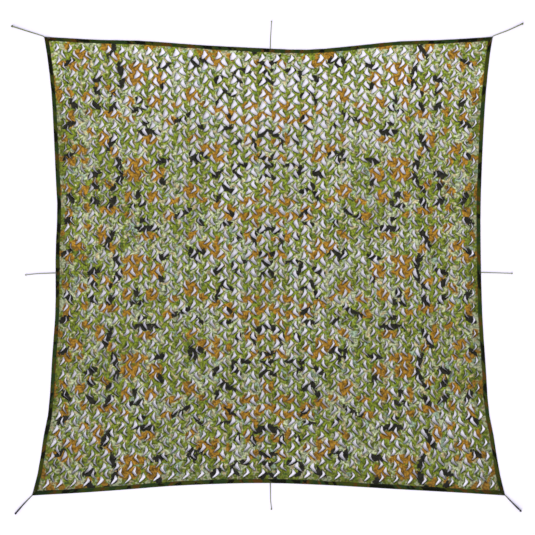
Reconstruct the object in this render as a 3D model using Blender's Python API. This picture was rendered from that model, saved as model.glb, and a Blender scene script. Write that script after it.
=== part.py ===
"""Camouflage net, 3 m square, spread out on a flat surface with its eight tie cords.

One panel of printed cloth is cut with rows of hooked slits. Stretched, each slit opens
into a gap and the leaf beside it lifts. A folded strip binds each of the four sides, and
a short cord with a knotted end is sewn in at each corner and at the middle of each side.

Metres, +Z up. The origin is on the surface under the middle of the net, +X runs to its
right and +Y towards its top edge. The sides are numbered bottom, right, top, left, and
each has its own frame: "along" runs anticlockwise round the net, "inset" runs inwards.
"""

import functools
import math
from collections import namedtuple

import bmesh
import bpy
from mathutils import Vector
from mathutils.geometry import delaunay_2d_cdt

# ---------------------------------------------------------------- driving sizes
NET_SIDE = 3.0  # from corner to corner
HALF = NET_SIDE / 2
CLEARANCE = 0.0003  # between pieces that are sewn together

CLOTH_THICK = 0.002

GAP_COLUMNS = 16  # one gap stands for a block of two by two repeats of the cut
GAP_ROWS = 17
ROW_STAGGER = 0.20  # of a column, to one side and the other in turn
LEAF_LIFT = 0.012  # how far a leaf's free edge stands above its other side
LEAF_VARIATION = 0.25  # share by which the lift differs from leaf to leaf
LEAF_PHASES = (2.4, 1.7)  # radians of that variation from one leaf to the next, across and up
SWELL_HEIGHT = 0.008  # slow rise and fall of the whole cloth
SWELLS_ACROSS = 3.5  # crests and troughs between the sides
SWELLS_UP = 3.0
SWELL_FADE = 0.1  # share of the cloth beside the binding over which they die away

BINDING_WIDTH = 0.026
BINDING_WALL = 0.001
BINDING_FOLD = 0.003  # solid depth of the fold at the outer edge
BINDING_ROUND = 0.0015  # how far the fold's shoulders are rounded off
BINDING_STATIONS = 24  # steps along each side
TIP_TRIM = 0.0062  # each strip's outer end stops short of the corner, to let the tie in

CORNER_CORD_RADIUS = 0.003
MIDDLE_CORD_RADIUS = 0.002
CORD_STEP = 3.0  # cord diameters between the tube's points
KNOT_SHAPE = Vector((2.8, 2.3, 1.8))  # cord radii from its middle: along, across and up

binding_height = 2 * BINDING_WALL + 2 * CLEARANCE + CLOTH_THICK
cloth_floor = BINDING_WALL + CLEARANCE  # underside of the cloth inside the binding
cord_gap = 2 * CLEARANCE  # between a cord's end and what it is sewn to
cloth_edge = BINDING_FOLD + CLEARANCE  # inset of the cloth's raw edge, against the fold
field_edge = BINDING_WIDTH + 0.002  # inset where the leaf cuts may begin

# How far each side bows inwards between its corners, as rows of (along, inward).
Bow = namedtuple("Bow", "along inward")
SIDE_NAMES = ("bottom", "right", "top", "left")
SIDE_BOWS = (
    [
        Bow(-1.50, 0.000), Bow(-1.20, 0.016), Bow(-0.94, 0.034), Bow(-0.56, 0.062),
        Bow(-0.05, 0.077), Bow(0.35, 0.065), Bow(0.85, 0.037), Bow(1.20, 0.018),
        Bow(1.50, 0.000),
    ],
    [
        Bow(-1.50, 0.000), Bow(-1.34, 0.034), Bow(-1.09, 0.068), Bow(-0.97, 0.090),
        Bow(-0.71, 0.101), Bow(-0.35, 0.116), Bow(0.20, 0.114), Bow(0.46, 0.104),
        Bow(0.86, 0.078), Bow(1.13, 0.054), Bow(1.40, 0.019), Bow(1.50, 0.000),
    ],
    [
        Bow(-1.50, 0.000), Bow(-1.15, 0.022), Bow(-0.88, 0.031), Bow(-0.62, 0.057),
        Bow(-0.35, 0.084), Bow(-0.20, 0.089), Bow(0.05, 0.078), Bow(0.45, 0.057),
        Bow(0.86, 0.027), Bow(1.13, 0.021), Bow(1.39, 0.006), Bow(1.50, 0.000),
    ],
    [
        Bow(-1.50, 0.000), Bow(-1.40, 0.019), Bow(-1.13, 0.057), Bow(-0.86, 0.079),
        Bow(-0.46, 0.107), Bow(-0.33, 0.117), Bow(-0.06, 0.112), Bow(0.33, 0.120),
        Bow(0.59, 0.108), Bow(0.97, 0.092), Bow(1.09, 0.070), Bow(1.34, 0.037),
        Bow(1.50, 0.000),
    ],
)

# One gap, anticlockwise, in cells across and up, and the share of the leaf's lift there.
# Its outer lip lies low, and its inner lip is the free edge of the leaf.
Lip = namedtuple("Lip", "across up lift")
GAP_OUTLINE = (
    Lip(-0.05, 0.38, 0.20),
    Lip(-0.09, 0.22, 0.70),
    Lip(-0.08, 0.04, 1.00),
    Lip(-0.18, -0.14, 0.75),
    Lip(-0.28, -0.38, 0.20),
    Lip(0.07, -0.27, 0.00),
    Lip(0.28, 0.00, 0.00),
    Lip(0.18, 0.30, 0.00),
)

# Each tie's way over the surface, outwards from the net, up to where its knot begins.
Tie = namedtuple("Tie", "name side along route")
AT_CORNER = None  # "along" of a tie that leaves the corner where the side ends
TIES = (
    Tie("bottom", 0, 0.011, [(0.012, -1.475), (0.013, -1.530), (0.018, -1.578)]),
    Tie("bottom_right", 0, AT_CORNER, [(1.507, -1.506), (1.547, -1.548), (1.588, -1.588)]),
    Tie("right", 1, -0.082, [(1.440, -0.083), (1.510, -0.085), (1.577, -0.088)]),
    Tie("top_right", 1, AT_CORNER, [(1.508, 1.507), (1.600, 1.543), (1.692, 1.585)]),
    Tie("top", 2, -0.012, [(0.013, 1.480), (0.017, 1.545), (0.020, 1.599)]),
    Tie("top_left", 2, AT_CORNER, [(-1.509, 1.505), (-1.605, 1.536), (-1.707, 1.569)]),
    Tie("left", 3, 0.085, [(-1.440, -0.087), (-1.510, -0.090), (-1.572, -0.097)]),
    Tie("bottom_left", 3, AT_CORNER, [(-1.506, -1.507), (-1.549, -1.552), (-1.593, -1.603)]),
)


# ---------------------------------------------------------------- curves and places
def smooth(rows, at):
    """Value at `at` of the smooth curve through rows of (place, value)."""
    last = len(rows) - 1
    i = next((k for k in range(last) if at <= rows[k + 1][0]), last - 1)

    def slope(k):
        before, after = rows[max(k - 1, 0)], rows[min(k + 1, last)]
        return (after[1] - before[1]) / (after[0] - before[0])

    (start, low), (end, high) = rows[i], rows[i + 1]
    width = end - start
    t = (at - start) / width
    rise = t * t * (3 - 2 * t)
    pull = width * t * (1 - t)
    return low + (high - low) * rise + pull * ((1 - t) * slope(i) - t * slope(i + 1))


def turned(point, side):
    """A point of a side's own frame, turned into the net's."""
    x, y = point
    for _ in range(side):
        x, y = -y, x
    return Vector((x, y))


def edge_point(side, along, inset):
    return turned((along, smooth(SIDE_BOWS[side], along) - HALF + inset), side)


@functools.lru_cache(maxsize=None)
def corner(side, inset):
    """Where a side meets the next one, both inset, as (along this side, along the next)."""
    here, there = HALF - inset, inset - HALF
    rounds = 20
    for _ in range(rounds):
        here = HALF - smooth(SIDE_BOWS[(side + 1) % 4], there) - inset
        there = smooth(SIDE_BOWS[side], here) - HALF + inset
    return here, there


def corner_point(side, inset):
    return edge_point(side, corner(side, inset)[0], inset)


def rim_point(side, share, inset):
    """The point that share of the way along a side at one inset."""
    start = corner((side - 1) % 4, inset)[1]
    end = corner(side, inset)[0]
    return edge_point(side, start + (end - start) * share, inset)


def field_point(across, up):
    """A place in the leaf-cut field, from the shares across and up: a patch between its sides."""
    bottom, top = rim_point(0, across, field_edge), rim_point(2, 1 - across, field_edge)
    right, left = rim_point(1, up, field_edge), rim_point(3, 1 - up, field_edge)
    corners = (
        corner_point(3, field_edge) * (1 - across) * (1 - up)
        + corner_point(0, field_edge) * across * (1 - up)
        + corner_point(1, field_edge) * across * up
        + corner_point(2, field_edge) * (1 - across) * up
    )
    return bottom * (1 - up) + top * up + left * (1 - across) + right * across - corners


def swell(across, up):
    """Height of the cloth's slow rise and fall, which is nothing beside the binding."""
    fade = min(across, 1 - across, up, 1 - up, SWELL_FADE) / SWELL_FADE
    wave = math.sin(2 * math.pi * SWELLS_ACROSS * across) * math.sin(2 * math.pi * SWELLS_UP * up)
    return SWELL_HEIGHT * fade * (1 + wave) / 2


# ---------------------------------------------------------------- making solids
def material(name, colour, roughness):
    made = bpy.data.materials.new(name)
    made.use_nodes = True
    shader = made.node_tree.nodes["Principled BSDF"]
    shader.inputs["Base Color"].default_value = (*colour, 1.0)
    shader.inputs["Roughness"].default_value = roughness
    shader.inputs["Metallic"].default_value = 0.0
    return made


def add_object(name, mesh_data, finish):
    mesh_data.materials.append(finish)
    made = bpy.data.objects.new(name, mesh_data)
    bpy.context.scene.collection.objects.link(made)
    return made


def mesh_from(name, points, faces):
    bm = bmesh.new()
    corners = [bm.verts.new(point) for point in points]
    for face in faces:
        bm.faces.new([corners[i] for i in face])
    bmesh.ops.recalc_face_normals(bm, faces=bm.faces)
    mesh_data = bpy.data.meshes.new(name)
    bm.to_mesh(mesh_data)
    bm.free()
    return mesh_data


# ---------------------------------------------------------------- the leaf-cut panel
def gap_lips(column, row):
    """Underside points of one gap's lips, anticlockwise. The rows face right and left in turn."""
    facing = 1 if row % 2 else -1
    differs = 1 + LEAF_VARIATION * math.sin(LEAF_PHASES[0] * column + LEAF_PHASES[1] * row)
    lips = []
    for lip in GAP_OUTLINE[::facing]:
        across = (column + 0.5 + facing * (ROW_STAGGER + lip.across)) / GAP_COLUMNS
        up = (row + 0.5 + lip.up) / GAP_ROWS
        height = swell(across, up) + LEAF_LIFT * differs * lip.lift
        lips.append(Vector((*field_point(across, up), height)))
    return lips


def rim_loop(inset):
    """Underside points round the cloth at one inset, level with the slot in the binding."""
    shares = [k / BINDING_STATIONS for k in range(BINDING_STATIONS)]
    places = [rim_point(side, share, inset) for side in range(4) for share in shares]
    return [Vector((*place, cloth_floor)) for place in places]


def make_panel(finish):
    """The cloth: a level rim inside the binding, and the leaf-cut field that it surrounds."""
    loops = [rim_loop(cloth_edge), rim_loop(field_edge)]
    loops += [gap_lips(i, j) for j in range(GAP_ROWS) for i in range(GAP_COLUMNS)]
    under = [point for loop in loops for point in loop]
    rings = []
    for loop in loops:
        start = rings[-1][-1] + 1 if rings else 0
        rings.append(list(range(start, start + len(loop))))
    raw_edge, field_rim, *gaps = rings

    flat = [point.xy for point in under]
    inside_but_not_in_holes = 2
    nearly_nothing = 1e-7
    made = delaunay_2d_cdt(flat, [], rings[1:], inside_but_not_in_holes, nearly_nothing)
    sheet = made[2]
    for k, outer in enumerate(raw_edge):
        sheet.append((outer, raw_edge[k - 1], field_rim[k - 1], field_rim[k]))

    count = len(under)
    points = under + [point + Vector((0, 0, CLOTH_THICK)) for point in under]
    faces = sheet + [[i + count for i in face] for face in sheet]
    for ring in (raw_edge, *gaps):
        faces += [(ring[k - 1], i, i + count, ring[k - 1] + count) for k, i in enumerate(ring)]
    return add_object("net_panel", mesh_from("net_panel", points, faces), finish)


# ---------------------------------------------------------------- the binding
def binding_section():
    """Outline of the folded strip as (inset, height): a fold, and a wall on each side of the cloth."""
    top, wall, width = binding_height, BINDING_WALL, BINDING_WIDTH
    return [
        (BINDING_ROUND, 0.0),
        (width, 0.0),
        (width, wall),
        (BINDING_FOLD, wall),
        (BINDING_FOLD, top - wall),
        (width, top - wall),
        (width, top),
        (BINDING_ROUND, top),
        (0.0, top - BINDING_ROUND),
        (0.0, BINDING_ROUND),
    ]


def make_binding(side, finish):
    """One strip: its section's corners as lines along the side, each cut back at both ends."""
    lines = []
    for inset, height in binding_section():
        shares = [k / BINDING_STATIONS for k in range(BINDING_STATIONS + 1)]
        line = [Vector((*rim_point(side, share, inset), height)) for share in shares]
        trim = CLEARANCE + TIP_TRIM * (1 - inset / BINDING_WIDTH)
        line[0] += (line[1] - line[0]).normalized() * trim
        line[-1] += (line[-2] - line[-1]).normalized() * trim
        lines.append(line)

    points = [point for line in lines for point in line]
    length = BINDING_STATIONS + 1
    starts = range(0, len(points), length)
    faces = [list(starts), [start + length - 1 for start in starts]]
    for i, start in enumerate(starts):
        before = starts[i - 1]
        for k in range(BINDING_STATIONS):
            faces.append((before + k, before + k + 1, start + k + 1, start + k))
    name = f"binding_{SIDE_NAMES[side]}"
    return add_object(name, mesh_from(name, points, faces), finish)


# ---------------------------------------------------------------- the ties
def tie_root(tie):
    """Where a tie's cord starts: against a strip's fold, or against the cloth's corner."""
    if tie.along is not AT_CORNER:
        return edge_point(tie.side, tie.along, -cord_gap)
    cloth_corner = corner_point(tie.side, cloth_edge)
    outwards = corner_point(tie.side, 0.0) - cloth_corner
    return cloth_corner + outwards.normalized() * cord_gap


def cord_radius(tie):
    return CORNER_CORD_RADIUS if tie.along is AT_CORNER else MIDDLE_CORD_RADIUS


def tie_way(tie):
    """A tie's centreline: smooth through its points, along the surface, then up to its knot."""
    radius = cord_radius(tie)
    route = [tie_root(tie), *map(Vector, tie.route)]
    reach = [0.0]
    for near, far in zip(route, route[1:]):
        reach.append(reach[-1] + (far - near).length)
    across = [(at, place.x) for at, place in zip(reach, route)]
    up = [(at, place.y) for at, place in zip(reach, route)]
    lift = [(0.0, radius), (reach[-2], radius), (reach[-1], radius * KNOT_SHAPE.z)]
    steps = math.ceil(reach[-1] / (2 * radius * CORD_STEP))
    way = []
    for k in range(steps + 1):
        at = reach[-1] * k / steps
        height = max(smooth(lift, at), radius)
        way.append(Vector((smooth(across, at), smooth(up, at), height)))
    return way


def make_cord(tie, way, finish):
    curve = bpy.data.curves.new(f"tie_{tie.name}", "CURVE")
    curve.dimensions = "3D"
    curve.bevel_depth = cord_radius(tie)
    curve.bevel_resolution = 2
    curve.use_fill_caps = True
    spline = curve.splines.new("POLY")
    spline.points.add(len(way) - 1)
    for point, place in zip(spline.points, way):
        point.co = (*place, 1.0)
    return add_object(f"tie_{tie.name}", curve, finish)


def make_knot(tie, way, finish):
    """The stopper knot at a tie's far end, just clear of the cord that runs into it."""
    half = KNOT_SHAPE * cord_radius(tie)
    heading = (way[-1] - way[-2]).xy.normalized()
    centre = way[-1].xy + heading * (half.x + CLEARANCE)
    name = f"knot_{tie.name}"
    mesh_data = bpy.data.meshes.new(name)
    bm = bmesh.new()
    bmesh.ops.create_icosphere(bm, subdivisions=2, radius=1.0)
    bmesh.ops.scale(bm, vec=half, verts=bm.verts)
    bm.to_mesh(mesh_data)
    bm.free()
    mesh_data.shade_smooth()
    made = add_object(name, mesh_data, finish)
    made.location = (*centre, half.z)
    made.rotation_euler.z = math.atan2(heading.y, heading.x)
    return made


def main():
    for old in list(bpy.data.objects):
        bpy.data.objects.remove(old)
    leaf_green = material("leaf_cut_cloth", (0.30, 0.36, 0.10), 0.85)
    dark_green = material("binding_cloth", (0.04, 0.07, 0.03), 0.80)
    cord_olive = material("tie_cord", (0.05, 0.06, 0.04), 0.65)
    make_panel(leaf_green)
    for side in range(4):
        make_binding(side, dark_green)
    for tie in TIES:
        way = tie_way(tie)
        make_cord(tie, way, cord_olive)
        make_knot(tie, way, cord_olive)


main()
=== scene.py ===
# %% [markdown]
# # A leaf-cut camouflage net, laid out flat
#
# The net is one panel of printed cloth, cut all over with rows of small hooked slits. When
# the cloth is pulled sideways and lengthwise, each slit opens into a gap and the leaf beside
# it lifts off the plane. A dark tape is folded over the raw edge and stitched down, and a
# short tie cord with a stopper knot is sewn in at each corner and half-way along each side.
#
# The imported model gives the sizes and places. This script adds the finish: two thousand
# leaves instead of the solid's few hundred gaps, the print, the tape's puckers, its thread
# and the braid of the cords.

import math
from collections import namedtuple

import bmesh
import bpy
import numpy as np
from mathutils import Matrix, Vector
from mathutils.geometry import delaunay_2d_cdt, intersect_line_line


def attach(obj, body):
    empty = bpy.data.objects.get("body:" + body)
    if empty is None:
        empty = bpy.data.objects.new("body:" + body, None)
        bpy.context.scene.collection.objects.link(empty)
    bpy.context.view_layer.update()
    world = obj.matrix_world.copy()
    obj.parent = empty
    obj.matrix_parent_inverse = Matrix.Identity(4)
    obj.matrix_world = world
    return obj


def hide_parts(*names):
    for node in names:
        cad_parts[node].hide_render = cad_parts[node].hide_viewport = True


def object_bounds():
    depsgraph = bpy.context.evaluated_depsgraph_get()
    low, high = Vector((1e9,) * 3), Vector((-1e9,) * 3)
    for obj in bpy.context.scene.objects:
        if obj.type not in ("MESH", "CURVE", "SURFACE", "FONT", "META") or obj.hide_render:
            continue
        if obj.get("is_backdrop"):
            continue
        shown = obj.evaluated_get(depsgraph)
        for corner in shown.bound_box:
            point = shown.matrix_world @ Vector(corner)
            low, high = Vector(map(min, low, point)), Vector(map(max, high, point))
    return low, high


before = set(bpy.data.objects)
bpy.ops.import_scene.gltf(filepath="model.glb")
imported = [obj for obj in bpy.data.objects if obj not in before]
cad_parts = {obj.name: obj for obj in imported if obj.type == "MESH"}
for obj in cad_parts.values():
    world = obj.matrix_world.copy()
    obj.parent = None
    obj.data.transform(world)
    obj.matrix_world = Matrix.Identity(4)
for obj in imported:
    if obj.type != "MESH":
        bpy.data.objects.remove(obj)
cad_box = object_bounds()
scene = bpy.context.scene
print(f"{len(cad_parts)} solids, {(cad_box[1] - cad_box[0]).x:.3f} m across with the ties")

# %% [markdown]
# ## Camera
#
# The camera looks almost straight down on the middle of the net from 5 m away, tipped five
# degrees so that the near edge comes out slightly longer than the far one. A camera that is
# turned about X only keeps the net's sides level in the picture.

# %% Camera
EYE_DISTANCE = 5.0
EYE_TILT = math.radians(5.09)
EYE_TARGET = Vector((-0.0063, -0.0485, 0.0))
LENS_MM = 51.67
SENSOR_MM = 36.0

camera_data = bpy.data.cameras.new("camera")
camera_data.lens = LENS_MM
camera_data.sensor_width = SENSOR_MM
camera = bpy.data.objects.new("camera", camera_data)
scene.collection.objects.link(camera)
camera.location = EYE_TARGET + EYE_DISTANCE * Vector((0, -math.sin(EYE_TILT), math.cos(EYE_TILT)))
camera.rotation_euler.x = EYE_TILT
scene.camera = camera
print("camera at", tuple(round(c, 3) for c in camera.location))

# %% [markdown]
# ## Expressions into nodes
#
# Shader trees and geometry trees are both nets of sockets. `Graph.add` makes any node from
# its type, what its sockets take and its settings. `Wire` holds an output socket and turns
# Python's operators into Math nodes, so a formula reads as a formula: `1 - mask * 0.5`.

# %% Wire
class Wire:
    """An output socket that can stand in a Python expression."""

    def __init__(self, graph, socket):
        self.graph = graph
        self.socket = socket

    def other(self, name):
        """Another output of the same node."""
        return Wire(self.graph, self.socket.node.outputs[name])

    def take(self, wire):
        """One more wire into the first input of this wire's node, which takes many."""
        self.graph.tree.links.new(wire.socket, self.socket.node.inputs[0])

    def __add__(self, value):
        return self.graph.math("ADD", self, value)

    def __radd__(self, value):
        return self.graph.math("ADD", value, self)

    def __sub__(self, value):
        return self.graph.math("SUBTRACT", self, value)

    def __rsub__(self, value):
        return self.graph.math("SUBTRACT", value, self)

    def __mul__(self, value):
        return self.graph.math("MULTIPLY", self, value)

    def __rmul__(self, value):
        return self.graph.math("MULTIPLY", value, self)

    def __truediv__(self, value):
        return self.graph.math("DIVIDE", self, value)


print("Wire is ready: it adds, subtracts, multiplies and divides")

# %% Graph
class Graph:
    """A node tree that is filled by add()."""

    def __init__(self, tree):
        self.tree = tree
        tree.nodes.clear()

    def add(self, kind, sockets=None, out=0, **settings):
        """A node of one kind: its settings first, then the values or wires of its sockets."""
        node = self.tree.nodes.new(kind)
        for name, value in settings.items():
            setattr(node, name, value)
        for name, value in (sockets or {}).items():
            if isinstance(value, Wire):
                self.tree.links.new(value.socket, node.inputs[name])
            else:
                node.inputs[name].default_value = value
        return Wire(self, node.outputs[out]) if len(node.outputs) else node

    def math(self, operation, *values):
        return self.add("ShaderNodeMath", dict(enumerate(values)), operation=operation)


print("Graph is ready")

# %% [markdown]
# ## Floor and light
#
# The net lies on a plain pale floor. One soft key light stands for the window side of a
# studio, and the pale cool sky fills the shade. The floor is a touch cooler than the key
# light, so it turns to lavender wherever the cloth around a gap shades it.

# %% Floor
FLOOR_HALF = 30.0
FLOOR_COLOUR = (0.765, 0.745, 0.850)


def plain_material(name, colour, roughness):
    made = bpy.data.materials.new(name)
    made.use_nodes = True
    graph = Graph(made.node_tree)
    shade = {"Base Color": (*colour, 1.0), "Roughness": roughness}
    shader = graph.add("ShaderNodeBsdfPrincipled", shade)
    graph.add("ShaderNodeOutputMaterial", {"Surface": shader})
    return made


def link_mesh(name, data):
    made = bpy.data.objects.new(name, data)
    scene.collection.objects.link(made)
    return made


floor_mesh = bpy.data.meshes.new("floor")
corners = [(x * FLOOR_HALF, y * FLOOR_HALF, 0.0) for x, y in ((-1, -1), (1, -1), (1, 1), (-1, 1))]
floor_mesh.from_pydata(corners, [], [(0, 1, 2, 3)])
floor_mesh.materials.append(plain_material("studio_floor", FLOOR_COLOUR, roughness=0.9))
floor = link_mesh("floor", floor_mesh)
floor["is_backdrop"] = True
print(f"a floor {2 * FLOOR_HALF:.0f} m wide")

# %% Light
SKY_COLOUR = (0.93, 0.925, 1.0)
SKY_STRENGTH = 0.94
SUN_STRENGTH = 3.1
SUN_COLOUR = (1.0, 0.985, 0.94)
SUN_TURN = (math.radians(52), math.radians(-35), 0.0)
SUN_WIDTH = math.radians(50)

sun_data = bpy.data.lights.new("key_light", "SUN")
sun_data.energy = SUN_STRENGTH
sun_data.color = SUN_COLOUR
sun_data.angle = SUN_WIDTH
sun = bpy.data.objects.new("key_light", sun_data)
sun.rotation_euler = SUN_TURN
scene.collection.objects.link(sun)

sky = bpy.data.worlds.new("studio_sky")
sky.use_nodes = True
scene.world = sky
sky_graph = Graph(sky.node_tree)
glow = sky_graph.add("ShaderNodeBackground", {"Color": (*SKY_COLOUR, 1.0), "Strength": SKY_STRENGTH})
sky_graph.add("ShaderNodeOutputWorld", {"Surface": glow})
scene.view_settings.view_transform = "Standard"
print("key light and sky")

# %% [markdown]
# ## The outline, read from the strips
#
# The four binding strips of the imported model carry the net's outline: each bows inwards
# between its corners. Their folds are the only corners of the solids at one height, so they
# are easy to find. Everything below is laid out from these lines, moved inwards as needed.

# %% Fold lines
SIDES = ("bottom", "right", "top", "left")
SHOULDER_HEIGHT = 0.0015  # of the lower edge of a strip's fold
CLOTH_INSET = 0.0033  # raw edge of the cloth, inside the fold
TUCK_INSET = 0.022  # the cloth is level from its raw edge to here, under the tape
FIELD_INSET = 0.026  # where the leaf cuts begin, at the tape's inner edge
NEARLY = 1e-5


def turned(spot, side):
    """A place in a side's own frame, anticlockwise along it and inwards, turned to the net's."""
    x, y = spot
    for _ in range(side):
        x, y = -y, x
    return Vector((x, y))


def fold_line(side):
    """The corner points of one strip's fold, in order, anticlockwise round the net."""
    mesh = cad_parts[f"binding_{SIDES[side]}"].data
    level = [v.co.xy for v in mesh.vertices if abs(v.co.z - SHOULDER_HEIGHT) < NEARLY]
    spots = {(round(spot.x, 5), round(spot.y, 5)) for spot in level}
    along = turned((1, 0), side)
    return sorted(map(Vector, spots), key=along.dot)


print(len(fold_line(0)), "corners along the bottom fold")

# %% Lines inside the folds
def crossing(line, after):
    """Where the end of one line and the start of the next would meet."""
    ends = (line[-2], line[-1], after[0], after[1])
    return intersect_line_line(*(spot.to_3d() for spot in ends))[0].xy


def inset_lines(inset):
    """The four fold lines moved inwards, each as an array of places from corner to corner."""
    moved = []
    for line in map(fold_line, range(4)):
        rows = []
        for k, spot in enumerate(line):
            ahead = line[min(k + 1, len(line) - 1)] - line[max(k - 1, 0)]
            rows.append(spot + Vector((-ahead.y, ahead.x)).normalized() * inset)
        moved.append(rows)
    for k in range(4):
        after = moved[(k + 1) % 4]
        corner = crossing(moved[k], after)
        moved[k][-1] = corner
        after[0] = corner
    return [np.array(line) for line in moved]


def on_line(line, share):
    """Places at shares of a line's length."""
    steps = np.linalg.norm(np.diff(line, axis=0), axis=1)
    reach = np.concatenate([[0], np.cumsum(steps)]) / steps.sum()
    return np.stack([np.interp(share, reach, line[:, k]) for k in (0, 1)], axis=-1)


fold_lines = inset_lines(0.0)
for name, line in zip(SIDES, fold_lines):
    length = np.linalg.norm(np.diff(line, axis=0), axis=1).sum()
    print(f"{name}: {len(line)} points, {length:.3f} m from corner to corner")

# %% [markdown]
# ## The ties' ways
#
# A tie cord is limp, so it lies on the floor all the way: out of the seam, along the surface
# and up into its knot. Each way is a smooth curve through a few given places, the same places
# as the imported cords follow, so the drawn cords lie exactly where those are.

# %% The ties' ways
CORNER_CORD_RADIUS = 0.003
MIDDLE_CORD_RADIUS = 0.002
KNOT_SHAPE = Vector((2.8, 2.3, 1.8))  # cord radii from its middle: along, across and up
CORD_GAP = 0.0006  # between a cord's end and what it is sewn to
CLEARANCE = 0.0003
WAY_STEP = 1.0  # cord diameters between the points of a way

Tie = namedtuple("Tie", "name side along route")
AT_CORNER = None  # "along" of a tie that leaves the corner where the side ends
TIES = (
    Tie("bottom", 0, 0.011, [(0.012, -1.475), (0.013, -1.530), (0.018, -1.578)]),
    Tie("bottom_right", 0, AT_CORNER, [(1.507, -1.506), (1.547, -1.548), (1.588, -1.588)]),
    Tie("right", 1, -0.082, [(1.440, -0.083), (1.510, -0.085), (1.577, -0.088)]),
    Tie("top_right", 1, AT_CORNER, [(1.508, 1.507), (1.600, 1.543), (1.692, 1.585)]),
    Tie("top", 2, -0.012, [(0.013, 1.480), (0.017, 1.545), (0.020, 1.599)]),
    Tie("top_left", 2, AT_CORNER, [(-1.509, 1.505), (-1.605, 1.536), (-1.707, 1.569)]),
    Tie("left", 3, 0.085, [(-1.440, -0.087), (-1.510, -0.090), (-1.572, -0.097)]),
    Tie("bottom_left", 3, AT_CORNER, [(-1.506, -1.507), (-1.549, -1.552), (-1.593, -1.603)]),
)
print(len(TIES), "ties")

# %% A smooth curve through places
def smooth(rows, at):
    """Value at `at` of the smooth curve through rows of (place, value)."""
    last = len(rows) - 1
    i = next((k for k in range(last) if at <= rows[k + 1][0]), last - 1)

    def slope(k):
        before, after = rows[max(k - 1, 0)], rows[min(k + 1, last)]
        return (after[1] - before[1]) / (after[0] - before[0])

    (start, low), (end, high) = rows[i], rows[i + 1]
    width = end - start
    t = (at - start) / width
    rise = t * t * (3 - 2 * t)
    pull = width * t * (1 - t)
    return low + (high - low) * rise + pull * ((1 - t) * slope(i) - t * slope(i + 1))


print("smooth is ready")

# %% A way along the floor
def cord_radius(tie):
    return CORNER_CORD_RADIUS if tie.along is AT_CORNER else MIDDLE_CORD_RADIUS


def own_line(side):
    """A side's fold line in that side's own frame."""
    return [turned(spot, -side % 4) for spot in fold_lines[side]]


def tie_root(tie):
    """Where a tie's cord leaves the net: a strip's fold, or the cloth's corner."""
    if tie.along is AT_CORNER:
        cloth_corner = Vector(inset_lines(CLOTH_INSET)[tie.side][-1])
        outwards = Vector(fold_lines[tie.side][-1]) - cloth_corner
        return cloth_corner + outwards.normalized() * CORD_GAP
    own = own_line(tie.side)
    level = np.interp(tie.along, [spot.x for spot in own], [spot.y for spot in own])
    return turned((tie.along, level - CORD_GAP), tie.side)


def tie_way(tie):
    """A tie's centreline: smooth through its places, along the surface, then up to its knot."""
    radius = cord_radius(tie)
    route = [tie_root(tie), *map(Vector, tie.route)]
    reach = [0.0]
    for near, far in zip(route, route[1:]):
        reach.append(reach[-1] + (far - near).length)
    across = [(at, place.x) for at, place in zip(reach, route)]
    up = [(at, place.y) for at, place in zip(reach, route)]
    lift = [(0.0, radius), (reach[-2], radius), (reach[-1], radius * KNOT_SHAPE.z)]
    steps = math.ceil(reach[-1] / (2 * radius * WAY_STEP))
    way = []
    for k in range(steps + 1):
        at = reach[-1] * k / steps
        height = max(smooth(lift, at), radius)
        way.append(Vector((smooth(across, at), smooth(up, at), height)))
    return way


print("tie_way is ready")

# %% Lay out the ways
tie_ways = {tie.name: tie_way(tie) for tie in TIES}

# %% [markdown]
# ## Braided cord, by Geometry Nodes
#
# A tie cord is braided from eight strands: four wind to the right, four to the left, and
# each goes over one and under the next. The tree takes any line of edges as a curve and
# tilts it a little more at each point, which winds the strands that are swept along it. It
# does so once each way, and lets the two layers swell in turn where they cross. The same
# tree serves the eight cords and their knots, because only the line and the inputs differ.

# %% A tree's sockets and its end
SOCKET_TYPES = {float: "NodeSocketFloat", int: "NodeSocketInt", bpy.types.Material: "NodeSocketMaterial",
                bpy.types.Object: "NodeSocketObject"}


def new_tree(name, inputs):
    """A geometry tree with named inputs, and the wires of those inputs by name."""
    tree = bpy.data.node_groups.new(name, "GeometryNodeTree")
    tree.interface.new_socket("Geometry", in_out="INPUT", socket_type="NodeSocketGeometry")
    for label, kind in inputs.items():
        tree.interface.new_socket(label, in_out="INPUT", socket_type=SOCKET_TYPES[kind])
    tree.interface.new_socket("Geometry", in_out="OUTPUT", socket_type="NodeSocketGeometry")
    graph = Graph(tree)
    group = graph.add("NodeGroupInput")
    return graph, {label: group.other(label) for label in ("Geometry", *inputs)}


def end_tree(graph, shape, material):
    """Every tree ends the same way: instances made real, and the material set."""
    real = graph.add("GeometryNodeRealizeInstances", {"Geometry": shape})
    finished = graph.add("GeometryNodeSetMaterial", {"Geometry": real, "Material": material})
    graph.add("NodeGroupOutput", {"Geometry": finished})


print("new_tree and end_tree are ready")

# %% A line to start from, and a tree's result
def grown(piece, graph, values):
    """Runs a tree on a piece with these input values, and keeps the result as its plain mesh."""
    modifier = piece.modifiers.new("grown", "NODES")
    modifier.node_group = graph.tree
    for item in graph.tree.interface.items_tree:
        if item.in_out == "INPUT" and item.name in values:
            modifier[item.identifier] = values[item.name]
    depsgraph = bpy.context.evaluated_depsgraph_get()
    plain = bpy.data.meshes.new_from_object(
        piece.evaluated_get(depsgraph), preserve_all_data_layers=True, depsgraph=depsgraph
    )
    piece.modifiers.clear()
    piece.data = plain
    return piece


def line_mesh(name, points, closed=False):
    """A mesh of edges only, along a list of points."""
    data = bpy.data.meshes.new(name)
    edges = [(k, k + 1) for k in range(len(points) - 1)]
    if closed:
        edges.append((len(points) - 1, 0))
    data.from_pydata(points, edges, [])
    return data


print("grown and line_mesh are ready")

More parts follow.
